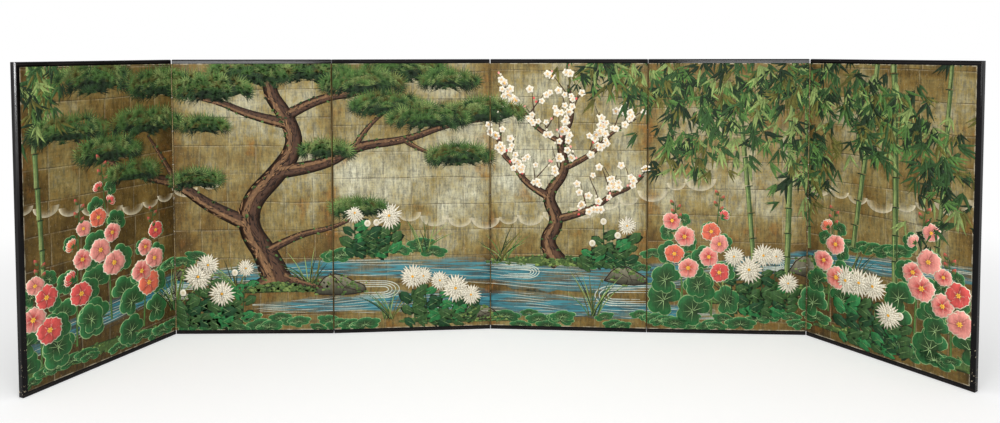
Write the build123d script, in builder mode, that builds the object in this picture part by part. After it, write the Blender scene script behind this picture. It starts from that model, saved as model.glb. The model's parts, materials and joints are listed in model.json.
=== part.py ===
import os
from dataclasses import dataclass

from build123d import *

# Six-panel folding screen. Millimetres and degrees; +X runs along the screen, -Y is the picture side.

# Panels
panel_count = 6
panel_height = 1060.0
panel_pitch = 606.0
first_heading = 65.0

# Folds, from the left end: how far each stands from straight, and which faces it brings together
fold_turns = (65.0, 4.0, 8.5, 1.1, 53.0)
fold_faces = ("front", "back", "front", "back", "front")
fold_gap = 3.0
closed_gap = 0.3

# Lacquered strips round the panels
strip_face = 16.0
strip_depth = 24.0
strip_outer_radius = 5.0
strip_inner_radius = 1.0
strip_end_setback = 1.2
corner_radius = 3.0

# Wooden core under the paper
core_depth = 19.0
member_width = 22.0
rail_tenon_depth = 14.0
rail_tenon_thickness = 8.0
rail_tenon_width = 14.0
rib_width = 11.0
rib_tenon_depth = 6.0
rib_tenon_thickness = 9.0
upright_ribs = 3
level_ribs = 7
joint_clearance = 0.1

# Papers
lining_thickness = 0.4
sheet_thickness = 0.6
wing_count = 8
wing_lap = 24.0
wing_spacing = 1.0
lip_thickness = 0.25

# Bamboo pegs between strips and core
peg_radius = 1.5
peg_clearance = 0.05
peg_in_strip = 8.0
peg_in_core = 12.0
across_peg_count = 4
upright_peg_count = 5

core_bottom = strip_face
core_top = panel_height - strip_face
core_height = core_top - core_bottom
inner_bottom = core_bottom + member_width
inner_top = core_top - member_width
lining_outside = core_depth / 2 + lining_thickness
sheet_outside = lining_outside + sheet_thickness
hinge_offset = (strip_depth + closed_gap) / 2
edge_inset = fold_gap / 2 + lining_thickness
slot_height = core_height / wing_count
wing_height = slot_height - wing_spacing

UP = Vector(0, 0, 1)


@dataclass
class Panel:
    """One panel's place: x along it from its left end, y towards its back, z up."""

    number: int
    place: Plane
    left_fold: str
    right_fold: str

    @property
    def core_left(self):
        return edge_inset if self.left_fold else strip_face

    @property
    def core_right(self):
        return panel_pitch - (edge_inset if self.right_fold else strip_face)

    @property
    def strip_left(self):
        return strip_end_setback if self.left_fold else 0.0

    @property
    def strip_right(self):
        return panel_pitch - (strip_end_setback if self.right_fold else 0.0)

    def at(self, along, back=0.0, height=0.0):
        return self.place.from_local_coords(Vector(along, back, height))

    def plan(self, height=0.0):
        return self.place.offset(height)

    def front_view(self, forward=0.0):
        return Plane(origin=self.at(0), x_dir=self.place.x_dir, z_dir=-self.place.y_dir).offset(forward)

    def end_view(self, along):
        return Plane(origin=self.at(along), x_dir=self.place.y_dir, z_dir=self.place.x_dir)

    def name(self, piece):
        return f"panel_{self.number}_{piece}"


def hinge_side(face):
    return -hinge_offset if face == "front" else hinge_offset


def spaced(count, low, high):
    # Even places between two ends, with a full step left at each end.
    step = (high - low) / (count + 1)
    return [low + step * (k + 1) for k in range(count)]


def stand_panels():
    # The panels are placed one from the next, each turned about the fold line they share.
    panels = []
    heading = first_heading
    corner = Vector(0, 0, 0)
    for k in range(panel_count):
        left_fold = fold_faces[k - 1] if k > 0 else ""
        right_fold = fold_faces[k] if k < panel_count - 1 else ""
        along = Vector(1, 0, 0).rotate(Axis.Z, heading)
        place = Plane(origin=corner, x_dir=along, z_dir=UP)
        panels.append(Panel(k + 1, place, left_fold, right_fold))
        if right_fold:
            side = hinge_side(right_fold)
            fold_line = panels[-1].at(panel_pitch, side)
            heading += -fold_turns[k] if right_fold == "front" else fold_turns[k]
            corner = fold_line - Vector(0, side, 0).rotate(Axis.Z, heading)
    return panels


def centre_on_floor(panels):
    # The origin is the middle of the whole footprint, on the floor.
    corners = [
        panel.at(along, back)
        for panel in panels
        for along in (panel.strip_left, panel.strip_right)
        for back in (-strip_depth / 2, strip_depth / 2)
    ]
    middle_x = (min(c.X for c in corners) + max(c.X for c in corners)) / 2
    middle_y = (min(c.Y for c in corners) + max(c.Y for c in corners)) / 2
    for panel in panels:
        panel.place.origin -= Vector(middle_x, middle_y, 0)


def seam(panel, side):
    # Plane between the core and one lacquered strip: x runs along the seam, z points out of the panel.
    along = panel.place.x_dir
    if side == "top":
        return Plane(origin=panel.at(0, 0, core_top), x_dir=along, z_dir=UP)
    if side == "bottom":
        return Plane(origin=panel.at(0, 0, core_bottom), x_dir=along, z_dir=-UP)
    if side == "left":
        return Plane(origin=panel.at(panel.core_left), x_dir=UP, z_dir=-along)
    return Plane(origin=panel.at(panel.core_right), x_dir=UP, z_dir=along)


def peg_places(panel, side):
    if side in ("top", "bottom"):
        return spaced(across_peg_count, panel.core_left + member_width, panel.core_right - member_width)
    return spaced(upright_peg_count, inner_bottom, inner_top)


def peg_holes(panel, side, depth):
    # Holes on one seam: a positive depth goes into the strip, a negative one into the core.
    with BuildSketch(seam(panel, side)) as holes:
        with Locations(*[(place, 0) for place in peg_places(panel, side)]):
            Circle(peg_radius + peg_clearance)
    extrude(holes.sketch, amount=depth, mode=Mode.SUBTRACT)


def lacquered_strip(panel, side):
    # A rounded moulding run along one side, cut to the panel's outline and mitred where two strips meet.
    left_mitre = 0.0 if panel.left_fold else strip_face
    right_mitre = 0.0 if panel.right_fold else strip_face
    left, right = panel.strip_left, panel.strip_right
    bands = {
        "top": [
            (left, panel_height),
            (left + left_mitre, core_top),
            (right - right_mitre, core_top),
            (right, panel_height),
        ],
        "bottom": [(left, 0), (right, 0), (right - right_mitre, core_bottom), (left + left_mitre, core_bottom)],
        "left": [(left, 0), (left + strip_face, core_bottom), (left + strip_face, core_top), (left, panel_height)],
        "right": [(right, 0), (right, panel_height), (right - strip_face, core_top), (right - strip_face, core_bottom)],
    }
    run = panel_height if side in ("left", "right") else panel_pitch
    outward = seam(panel, side).offset(strip_face)
    moulding_plane = Plane(
        origin=outward.origin, x_dir=outward.z_dir.cross(outward.x_dir), z_dir=outward.x_dir
    )
    with BuildPart() as strip:
        with BuildSketch(moulding_plane) as moulding:
            with Locations((0, -strip_face / 2)):
                Rectangle(strip_depth, strip_face)
            fillet(moulding.vertices().group_by(Axis.Y)[-1], radius=strip_outer_radius)
            fillet(moulding.vertices().group_by(Axis.Y)[0], radius=strip_inner_radius)
        extrude(amount=run)
        with BuildSketch(panel.front_view()) as outline:
            with Locations(((left + right) / 2, panel_height / 2)):
                RectangleRounded(right - left, panel_height, corner_radius)
            with BuildLine():
                Polyline(*bands[side], close=True)
            make_face(mode=Mode.INTERSECT)
        extrude(amount=strip_depth, both=True, mode=Mode.INTERSECT)
        peg_holes(panel, side, peg_in_strip)
    return strip


def core_upright(panel, side):
    # Side member of the core: mortised for the two rails and for the ends of the level ribs.
    outer = panel.core_left if side == "left" else panel.core_right
    inner = outer + member_width if side == "left" else outer - member_width
    low, high = sorted((outer, inner))
    inward = panel.end_view(inner)
    into_wood = -1 if side == "left" else 1
    rail_mortise_width = rail_tenon_width + 2 * joint_clearance
    rail_places = [(0, core_bottom + member_width / 2), (0, core_top - member_width / 2)]
    rib_places = [(0, height) for height in spaced(level_ribs, inner_bottom, inner_top)]
    folds = {"left": panel.left_fold, "right": panel.right_fold}
    with BuildPart() as upright:
        with BuildSketch(panel.plan(core_bottom)):
            with Locations(((low + high) / 2, 0)):
                Rectangle(high - low, core_depth)
        extrude(amount=core_height)
        with BuildSketch(inward):
            with Locations(*rail_places):
                Rectangle(rail_tenon_thickness + 2 * joint_clearance, rail_mortise_width)
        extrude(amount=into_wood * (rail_tenon_depth + joint_clearance), mode=Mode.SUBTRACT)
        with BuildSketch(inward):
            with Locations(*rib_places):
                Rectangle(rib_tenon_thickness + 2 * joint_clearance, rib_width + 2 * joint_clearance)
        extrude(amount=into_wood * (rib_tenon_depth + joint_clearance), mode=Mode.SUBTRACT)
        if not folds[side]:
            peg_holes(panel, side, -peg_in_core)
    return upright


def core_rail(panel, side):
    # Top or bottom member of the core, tenoned into the uprights.
    left = panel.core_left + member_width + joint_clearance
    right = panel.core_right - member_width - joint_clearance
    middle = (left + right) / 2
    tenon_length = right - left + 2 * rail_tenon_depth
    start = core_top - member_width if side == "top" else core_bottom
    inner = start if side == "top" else start + member_width
    tenon_start = start + (member_width - rail_tenon_width) / 2
    into_wood = 1 if side == "top" else -1
    ribs = spaced(upright_ribs, panel.core_left + member_width, panel.core_right - member_width)
    with BuildPart() as rail:
        with BuildSketch(panel.plan(start)):
            with Locations((middle, 0)):
                Rectangle(right - left, core_depth)
        extrude(amount=member_width)
        with BuildSketch(panel.plan(tenon_start)):
            with Locations((middle, 0)):
                Rectangle(tenon_length, rail_tenon_thickness)
        extrude(amount=rail_tenon_width)
        with BuildSketch(panel.plan(inner)):
            with Locations(*[(place, 0) for place in ribs]):
                Rectangle(rib_width + 2 * joint_clearance, rib_tenon_thickness + 2 * joint_clearance)
        extrude(amount=into_wood * (rib_tenon_depth + joint_clearance), mode=Mode.SUBTRACT)
        peg_holes(panel, side, -peg_in_core)
    return rail


def rib_outline(start, end, crossings, notch_side):
    # Flat outline of one rib, x along it: stub tenons at its ends and a half-lap notch at each crossing.
    length = end - start - 2 * joint_clearance
    middle = (start + end) / 2
    notch_depth = core_depth / 2 + joint_clearance / 2
    notch_middle = notch_side * (core_depth - notch_depth) / 2
    with Locations((middle, 0)):
        Rectangle(length, core_depth)
        Rectangle(length + 2 * rib_tenon_depth, rib_tenon_thickness)
    with Locations(*[(place, notch_middle) for place in crossings]):
        Rectangle(rib_width + 2 * joint_clearance, notch_depth, mode=Mode.SUBTRACT)


def core_ribs(panel):
    # Lattice inside the core: every crossing is half-lapped, uprights cut at the back, levels at the front.
    left = panel.core_left + member_width
    right = panel.core_right - member_width
    along = spaced(upright_ribs, left, right)
    heights = spaced(level_ribs, inner_bottom, inner_top)
    ribs = []
    for place in along:
        side_plane = Plane(
            origin=panel.at(place + rib_width / 2), x_dir=UP, z_dir=-panel.place.x_dir
        )
        with BuildPart() as upright_rib:
            with BuildSketch(side_plane):
                rib_outline(inner_bottom, inner_top, heights, notch_side=1)
            extrude(amount=rib_width)
        ribs.append(upright_rib.part)
    for height in heights:
        with BuildPart() as level_rib:
            with BuildSketch(panel.plan(height - rib_width / 2)):
                rib_outline(left, right, along, notch_side=-1)
            extrude(amount=rib_width)
        ribs.append(level_rib.part)
    return ribs


def fold_edges(panel):
    # The panel's own edges that carry hinge paper: where the edge is, which way is out, and its fold.
    edges = []
    if panel.left_fold:
        edges.append((panel.core_left, -1, panel.left_fold))
    if panel.right_fold:
        edges.append((panel.core_right, 1, panel.right_fold))
    return edges


def lap_face(outward, slot):
    # Wings alternate: a panel's right edge has its laps in front on even slots, its left edge on odd ones.
    in_front = slot % 2 == 0 if outward > 0 else slot % 2 == 1
    return "front" if in_front else "back"


def slot_bottom(slot):
    return core_bottom + slot_height * slot + wing_spacing / 2


def crease_lip(edge, outward, fold):
    # Corners of the bit of paper that leans from the panel's edge to the fold line, where it meets the
    # neighbour's; the two stay a closed gap apart at every angle.
    side = -1 if fold == "front" else 1
    line_along = edge + outward * edge_inset
    line_back = side * hinge_offset
    near = closed_gap / 2
    far = near + lip_thickness
    return [
        (edge, side * sheet_outside),
        (edge + outward * lining_thickness, side * sheet_outside),
        (line_along - outward * near, line_back - side * far),
        (line_along - outward * far, line_back - side * near),
    ]


def hinge_wings(panel):
    # The half of each paper wing that is glued to this panel: a lap on one face, the stretch across the
    # panel's edge if the lap is on the face away from the fold line, and the lip that reaches that line.
    wings = []
    for edge, outward, fold in fold_edges(panel):
        fold_side = -1 if fold == "front" else 1
        for slot in range(wing_count):
            face_side = -1 if lap_face(outward, slot) == "front" else 1
            start = face_side * (core_depth / 2 if face_side == fold_side else lining_outside)
            end = fold_side * sheet_outside
            with BuildPart() as wing:
                with BuildSketch(panel.plan(slot_bottom(slot))):
                    with Locations(
                        (edge - outward * wing_lap / 2, face_side * (core_depth + lining_thickness) / 2)
                    ):
                        Rectangle(wing_lap, lining_thickness)
                    with Locations((edge + outward * lining_thickness / 2, (start + end) / 2)):
                        Rectangle(lining_thickness, abs(end - start))
                    with BuildLine():
                        Polyline(*crease_lip(edge, outward, fold), close=True)
                    make_face()
                extrude(amount=wing_height)
            wings.append(wing.part)
    return wings


def lining_sheet(panel, face):
    # Built-up lining paper on one face of the core, cut away where the wings' laps lie.
    face_side = -1 if face == "front" else 1
    forward = -face_side * core_depth / 2
    width = panel.core_right - panel.core_left
    pockets = [
        (edge - outward * wing_lap / 2, core_bottom + slot_height * (slot + 0.5))
        for edge, outward, fold in fold_edges(panel)
        for slot in range(wing_count)
        if lap_face(outward, slot) == face
    ]
    with BuildPart() as lining:
        with BuildSketch(panel.front_view(forward)):
            with Locations(((panel.core_left + panel.core_right) / 2, panel_height / 2)):
                Rectangle(width, core_height)
            with Locations(*pockets):
                Rectangle(wing_lap, slot_height, mode=Mode.SUBTRACT)
        extrude(amount=-face_side * lining_thickness)
    return lining


def edge_patches(panel):
    # Paper over the panel's edge in the slots where no wing crosses it.
    patches = []
    for edge, outward, fold in fold_edges(panel):
        fold_side = -1 if fold == "front" else 1
        start = fold_side * core_depth / 2
        end = -fold_side * sheet_outside
        for slot in range(wing_count):
            if lap_face(outward, slot) != fold:
                continue
            with BuildPart() as patch:
                with BuildSketch(panel.plan(slot_bottom(slot))):
                    with Locations((edge + outward * lining_thickness / 2, (start + end) / 2)):
                        Rectangle(lining_thickness, abs(end - start))
                extrude(amount=wing_height)
            patches.append(patch.part)
    return patches


def face_sheet(panel, face):
    # The outermost sheet on one face: the picture in front, plain paper behind.
    face_side = -1 if face == "front" else 1
    with BuildPart() as sheet:
        with BuildSketch(panel.front_view(-face_side * lining_outside)):
            with Locations(((panel.core_left + panel.core_right) / 2, panel_height / 2)):
                Rectangle(panel.core_right - panel.core_left, core_height)
        extrude(amount=-face_side * sheet_thickness)
    return sheet


def strip_pegs(panel, sides):
    # Bamboo pegs, half in a strip and half in the core.
    length = peg_in_core + peg_in_strip - 2 * peg_clearance
    pegs = []
    for side in sides:
        for place in peg_places(panel, side):
            with BuildPart() as peg:
                with BuildSketch(seam(panel, side).offset(peg_clearance - peg_in_core)):
                    with Locations((place, 0)):
                        Circle(peg_radius)
                extrude(amount=length)
            pegs.append(peg.part)
    return pegs


def save(node, solids):
    piece = solids[0] if len(solids) == 1 else Compound(children=solids)
    piece.label = node
    export_step(piece, f"parts/{node}.step")


def strip_sides(panel):
    sides = ["top", "bottom"]
    if not panel.left_fold:
        sides.append("left")
    if not panel.right_fold:
        sides.append("right")
    return sides


os.makedirs("parts", exist_ok=True)
screen = stand_panels()
centre_on_floor(screen)

for panel in screen:
    sides = strip_sides(panel)
    frame_members = [
        core_upright(panel, "left").part,
        core_upright(panel, "right").part,
        core_rail(panel, "top").part,
        core_rail(panel, "bottom").part,
    ]
    linings = [lining_sheet(panel, "front").part, lining_sheet(panel, "back").part]
    save(panel.name("core_frame"), frame_members)
    save(panel.name("core_ribs"), core_ribs(panel))
    save(panel.name("lining_papers"), linings + edge_patches(panel))
    save(panel.name("picture_sheet"), [face_sheet(panel, "front").part])
    save(panel.name("back_paper"), [face_sheet(panel, "back").part])
    save(panel.name("hinge_wings"), hinge_wings(panel))
    save(panel.name("strip_pegs"), strip_pegs(panel, sides))
    for side in sides:
        piece = f"{side}_strip" if side in ("top", "bottom") else f"{side}_stile"
        save(panel.name(piece), [lacquered_strip(panel, side).part])
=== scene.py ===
import json
import math
import random

import bmesh
import bpy
import numpy as np
from mathutils import Matrix, Vector

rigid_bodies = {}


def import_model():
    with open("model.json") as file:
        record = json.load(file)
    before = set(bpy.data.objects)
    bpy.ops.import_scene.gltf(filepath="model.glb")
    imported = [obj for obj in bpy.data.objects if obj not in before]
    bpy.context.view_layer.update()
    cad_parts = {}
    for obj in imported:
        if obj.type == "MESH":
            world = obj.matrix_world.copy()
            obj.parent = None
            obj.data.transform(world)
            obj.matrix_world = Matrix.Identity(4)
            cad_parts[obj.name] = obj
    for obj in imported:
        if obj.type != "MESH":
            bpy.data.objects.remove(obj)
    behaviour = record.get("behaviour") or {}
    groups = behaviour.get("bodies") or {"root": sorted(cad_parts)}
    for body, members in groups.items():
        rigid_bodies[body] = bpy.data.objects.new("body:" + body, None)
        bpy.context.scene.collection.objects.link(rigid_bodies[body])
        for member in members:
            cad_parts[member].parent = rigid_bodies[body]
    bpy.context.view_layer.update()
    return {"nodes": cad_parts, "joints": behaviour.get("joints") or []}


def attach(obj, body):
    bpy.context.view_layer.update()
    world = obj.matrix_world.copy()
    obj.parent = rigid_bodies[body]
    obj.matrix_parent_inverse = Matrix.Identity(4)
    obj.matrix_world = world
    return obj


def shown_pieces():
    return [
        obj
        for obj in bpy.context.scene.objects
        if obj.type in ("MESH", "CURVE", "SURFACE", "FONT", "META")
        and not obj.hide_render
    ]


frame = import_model()

# sizes in metres, shared by everything below
screen = {
    "panels": 6,
    "pitch": 0.606,         # fold line to fold line
    "height": 1.06,
    "stripFace": 0.016,     # lacquer strip seen from the front
    "foldSetback": 0.0019,  # the picture sheet stops this far short of a fold line
}
screen["width"] = screen["panels"] * screen["pitch"]
screen["top"] = screen["height"] - screen["stripFace"]


def nodeName(index, piece):
    return f"panel_{index}_{piece}"


# where each panel stands: its directions along the picture and to the back, and its left fold line
def panelPlace(index):
    points = [v.co for v in frame["nodes"][nodeName(index, "picture_sheet")].data.vertices]
    middle = sum(points, Vector()) / len(points)
    left = [p for p in points if p.x < middle.x]
    right = [p for p in points if p.x >= middle.x]
    leftEnd = sum(left, Vector()) / len(left)
    along = (sum(right, Vector()) / len(right) - leftEnd).normalized()
    away = Vector((0, 0, 1)).cross(along)
    margin = screen["stripFace"] if index == 1 else screen["foldSetback"]
    front = min(p.dot(away) for p in points)
    origin = leftEnd - along * margin
    origin += away * (front - origin.dot(away))
    origin.z = 0
    return {"along": along, "away": away, "origin": origin, "start": (index - 1) * screen["pitch"]}


places = {index: panelPlace(index) for index in range(1, screen["panels"] + 1)}


def addObject(name, data):
    piece = bpy.data.objects.new(name, data)
    bpy.context.scene.collection.objects.link(piece)
    return piece


def meshObject(name, bm, material):
    mesh = bpy.data.meshes.new(name)
    bm.to_mesh(mesh)
    bm.free()
    mesh.materials.append(material)
    return addObject(name, mesh)


# a colour code as linear light
def rgb(code):
    parts = [int(code[i:i + 2], 16) / 255 for i in (1, 3, 5)]
    return [p / 12.92 if p <= 0.04045 else ((p + 0.055) / 1.055) ** 2.4 for p in parts] + [1.0]


def isSocket(value):
    return isinstance(value, bpy.types.NodeSocket)


def addNode(tree, kind, inputs=None, **settings):
    node = tree.nodes.new("ShaderNode" + kind)
    for name, value in settings.items():
        setattr(node, name, value)
    for name, value in (inputs or {}).items():
        if isSocket(value):
            tree.links.new(value, node.inputs[name])
        else:
            node.inputs[name].default_value = rgb(value) if isinstance(value, str) else value
    return node


# adds a node to the tree that its linked inputs are in, and gives one of its outputs
def follow(kind, inputs, output=0, **settings):
    tree = next(value.id_data for value in inputs.values() if isSocket(value))
    return addNode(tree, kind, inputs, **settings).outputs[output]


def reckon(operation, *values, clamp=False):
    return follow("Math", dict(enumerate(values)), operation=operation, use_clamp=clamp)


def plus(first, second):
    return reckon("ADD", first, second)


def minus(first, second):
    return reckon("SUBTRACT", first, second)


def times(first, second):
    return reckon("MULTIPLY", first, second)


def least(first, second):
    return reckon("MINIMUM", first, second)


# values added up, each with its own share
def weigh(parts, total=0.0):
    for value, share in parts:
        total = reckon("MULTIPLY_ADD", value, share, total)
    return total


def remap(value, low, high, toLow=0.0, toHigh=1.0, kind="SMOOTHSTEP"):
    inputs = {"Value": value, "From Min": low, "From Max": high, "To Min": toLow, "To Max": toHigh}
    return follow("MapRange", inputs, interpolation_type=kind, clamp=True)


def combine(x, y, z):
    return follow("CombineXYZ", {0: x, 1: y, 2: z})


def split(vector):
    return addNode(vector.id_data, "SeparateXYZ", {0: vector}).outputs


def mixColour(share, first, second, blend="MIX"):
    return follow("Mix", {0: share, 6: first, 7: second}, 2, data_type="RGBA", blend_type=blend)


# a colour made lighter and darker by a value
def lighten(colour, value, low, high, toLow, toHigh):
    light = remap(value, low, high, toLow, toHigh, kind="LINEAR")
    return mixColour(1.0, colour, combine(light, light, light), "MULTIPLY")


def stretch(place, scale, shift=(0, 0, 0)):
    return follow("Mapping", {"Vector": place, "Scale": scale, "Location": shift})


# scale is how often it changes in a metre, along x, y and z
def noise(place, scale, detail=3, roughness=0.55, shift=(0, 0, 0)):
    inputs = {"Vector": stretch(place, scale, shift), "Scale": 1.0, "Detail": detail, "Roughness": roughness}
    return follow("TexNoise", inputs)


def ramp(share, stops, kind="LINEAR"):
    node = addNode(share.id_data, "ValToRGB", {"Fac": share})
    elements = node.color_ramp.elements
    node.color_ramp.interpolation = kind
    while len(elements) < len(stops):
        elements.new(0.5)
    for element, (position, colour) in zip(elements, stops):
        element.position = position
        element.color = rgb(colour) if isinstance(colour, str) else colour
    return node.outputs[0]


def emptyTree(owner):
    owner.use_nodes = True
    owner.node_tree.nodes.clear()
    return owner.node_tree


def newMaterial(name, specular, metallic=0.0):
    material = bpy.data.materials.new(name)
    tree = emptyTree(material)
    shader = addNode(tree, "BsdfPrincipled", {"Metallic": metallic, "Specular IOR Level": specular})
    addNode(tree, "OutputMaterial", {0: shader.outputs[0]})
    return material, tree, shader


def objectPlace(tree):
    return addNode(tree, "TexCoord").outputs["Object"]


def finish(shader, colour, rough, height, distance, strength=0.5):
    bump = follow("Bump", {"Height": height, "Distance": distance, "Strength": strength})
    for name, value in (("Base Color", colour), ("Roughness", rough), ("Normal", bump)):
        shader.id_data.links.new(value, shader.inputs[name])


# the leafed ground, read in picture coordinates: x along all six panels, y up
leafLook = {
    # for each panel: start of the rows, size of a laid square, how far the leaf has turned brown
    "laid": [(0.93, 0.107, 0.58), (0.1, 0.1085, 0.3), (0.66, 0.102, 0.04), (0.72, 0.1025, 0.06),
             (0.3, 0.1025, 0.26), (0.85, 0.105, 0.32)],
    "tones": [(0.0, "#C0BDA4"), (0.28, "#A59E7E"), (0.5, "#87784A"), (0.76, "#6E582B"), (1.0, "#483716")],
    "seam": "#33260F", "lap": "#CFC7AB", "rust": "#8E5E28", "rubbedAndSheen": "#CDC4AA", "speck": "#54492A",
}


def leafedGround(look):
    group = bpy.data.node_groups.new("leafedGround", "ShaderNodeTree")
    group.interface.new_socket(name="Place", in_out="INPUT", socket_type="NodeSocketVector")
    place = group.nodes.new("NodeGroupInput").outputs["Place"]
    x, y = split(place)[:2]
    panels, pitch, top = screen["panels"], screen["pitch"], screen["top"]
    panel = reckon("FLOOR", reckon("DIVIDE", x, pitch))
    u = reckon("MULTIPLY_ADD", panel, -pitch, x)
    stops = [(k / panels, (*laid, 1)) for k, laid in enumerate(look["laid"])]
    laid = ramp(reckon("MULTIPLY_ADD", panel, 1 / panels, 0.5 / panels), stops, "CONSTANT")
    rowStart, leafSize, age = addNode(group, "SeparateColor", {0: laid}).outputs

    # squares of leaf: rows counted down from the top, columns shifted a little from row to row
    drift = reckon("MULTIPLY_ADD", noise(place, (2.6, 2.6, 1), 2), 0.02, -0.01)
    jag = reckon("MULTIPLY_ADD", noise(place, (190, 190, 1), 2), 0.0022, -0.0011)
    wander = plus(drift, jag)
    rows = plus(reckon("DIVIDE", plus(minus(wander, y), top), leafSize), rowStart)
    row = reckon("FLOOR", rows)
    slide = follow("TexWhiteNoise", {"Vector": combine(row, panel, 3.0)})
    columns = reckon("MULTIPLY_ADD", slide, 0.12, reckon("DIVIDE", plus(u, wander), leafSize))
    cell = addNode(group, "TexWhiteNoise", {"Vector": combine(reckon("FLOOR", columns), row, panel)}).outputs
    tone, tint = cell[0], follow("SeparateColor", {0: cell[1]}, 1)
    fx, fy = reckon("FRACT", columns), reckon("FRACT", rows)
    faint = remap(noise(place, (14, 14, 1), shift=(1, 6, 0)), 0.35, 0.6, 0.35, 1.0)
    seam = reckon("MAXIMUM", remap(fy, 0.958, 0.985), remap(fx, 0.966, 0.99, 0.0, 0.7))
    seam = times(seam, faint)
    lap = times(remap(least(fx, fy), 0.015, 0.045, 1.0, 0.0), faint)

    # paper fibre and rubbed metal
    fibre = noise(place, (105, 17, 1), 4, 0.7)
    weft = noise(place, (14, 110, 1), 3, 0.7)
    grain = noise(place, (170, 130, 1), 2, shift=(8, 3, 0))
    streak = weigh([(fibre, 0.6), (weft, 0.2), (grain, 0.2)])
    ticks = noise(place, (230, 80, 1), 4, 0.8, (3.1, 7.7, 0))
    scratch = remap(ticks, 0.58, 0.68)
    gleam = remap(ticks, 0.42, 0.3)

    # tarnish: silver keeps best in the middle of each panel and of the screen
    cloud = noise(place, (2.4, 2.7, 1), 4, 0.6, (5, 1, 0))
    blotch = noise(place, (13, 9, 1), 5, 0.65)
    smudge = noise(place, (48, 34, 1), 3, 0.6)
    fold = least(u, minus(pitch, u))
    nearFold = remap(fold, 0.0, 0.075, 1.0, 0.0)
    foot = remap(y, 0.12, 0.62, 1.0, 0.0)
    head = remap(y, top - 0.05, top - 0.03)
    tarnish = weigh([(tone, 0.17), (cloud, 1.2), (blotch, 0.8), (smudge, 0.4), (streak, 1.0), (age, 0.85),
                     (nearFold, 0.2), (foot, 0.3), (head, 0.16)], -1.52)
    colour = ramp(reckon("ADD", tarnish, 0.0, clamp=True), look["tones"])
    rust = remap(weigh([(blotch, 1.0), (tint, 0.16), (nearFold, 0.12)]), 0.68, 0.88, 0.0, 0.5)
    colour = mixColour(rust, colour, look["rust"])
    for mark, share, name in ((gleam, 0.35, "rubbedAndSheen"), (lap, 0.2, "lap"), (seam, 0.72, "seam"),
                              (scratch, 0.26, "speck")):
        colour = mixColour(times(mark, share), colour, look[name])
    colour = lighten(colour, streak, 0.42, 0.58, 0.5, 1.42)

    # a worn pale line round the picture beside the lacquer, and painted shade on the ground beside the folds
    face = screen["stripFace"]
    sides = least(minus(x, face), minus(screen["width"] - face, x))
    ends = least(minus(y, face), minus(top, y))
    patchy = remap(noise(place, (34, 34, 1), shift=(9, 2, 0)), 0.42, 0.6, 0.1, 0.75)
    rubbedAndSheen = times(remap(least(sides, ends), 0.0012, 0.0042, 1.0, 0.0), patchy)
    colour = mixColour(rubbedAndSheen, colour, look["rubbedAndSheen"])
    # painted shade on the ground beside the folds
    colour = mixColour(remap(fold, 0.0022, 0.0065, 0.75, 0.0), colour, look["seam"])

    chips = noise(place, (120, 75, 1), 5, 0.75, (2, 4, 0))
    end = group.nodes.new("NodeGroupOutput")
    for name, kind, value in (("Colour", "Color", colour), ("Streak", "Float", streak),
                              ("Height", "Float", weigh([(streak, 0.6), (seam, -0.8), (lap, 0.5)])),
                              ("Bare", "Float", weigh([(chips, 0.6), (streak, 0.4)]))):
        group.interface.new_socket(name=name, in_out="OUTPUT", socket_type="NodeSocket" + kind)
        group.links.new(value, end.inputs[name])
    return group


groundGroup = leafedGround(leafLook)


def groundAt(place):
    return addNode(place.id_data, "Group", {"Place": place}, node_tree=groundGroup).outputs


# a CAD sheet is read in its own panel's directions, so the pattern lies flat on it
def canvasPlace(tree, index):
    spot = places[index]
    turn = -math.atan2(spot["along"].y, spot["along"].x)
    shift = Matrix.Rotation(turn, 3, "Z") @ spot["origin"]
    inputs = {"Vector": objectPlace(tree), "Rotation": (0, 0, turn),
              "Location": (spot["start"] - shift.x, -shift.y, 0)}
    x, y, z = split(follow("Mapping", inputs))
    return combine(x, z, y)


def pictureMaterial(index):
    material, tree, shader = newMaterial(f"leafedSheet{index}", specular=0.2, metallic=0.1)
    ground = groundAt(canvasPlace(tree, index))
    finish(shader, ground["Colour"], remap(ground["Streak"], 0.4, 0.6, 0.4, 0.6), ground["Height"], 0.0004)
    return material


lacquerLook = {
    "black": "#050405", "cloudy": "#0D0B0C", "worn": "#33241A", "wood": "#B9AB90", "rubbedAndSheen": "#241F1D",
    "rough": 0.07,
    "beadHighlight": 0.0085,  # a painted highlight, a lighter band, runs along the moulding this far in from its outer edge
    # the arris of the left stile keeps the best polish
    "edge": places[1]["origin"] - places[1]["away"] * 0.001, "edgeWidth": 0.0075, "edgeFrom": 0.5,
    "edgeTo": 1.0, "polish": 1.9, "polishRough": 0.12,
}


# how far a spot is from the nearest of some upright lines
def lineDistance(place, lines):
    flat = follow("VectorMath", {0: place, 1: (1, 1, 0)}, operation="MULTIPLY")
    nearest = 1.0
    for line in lines:
        away = follow("VectorMath", {0: flat, 1: (line[0], line[1], 0)}, "Value", operation="DISTANCE")
        nearest = least(away, nearest)
    return nearest


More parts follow.
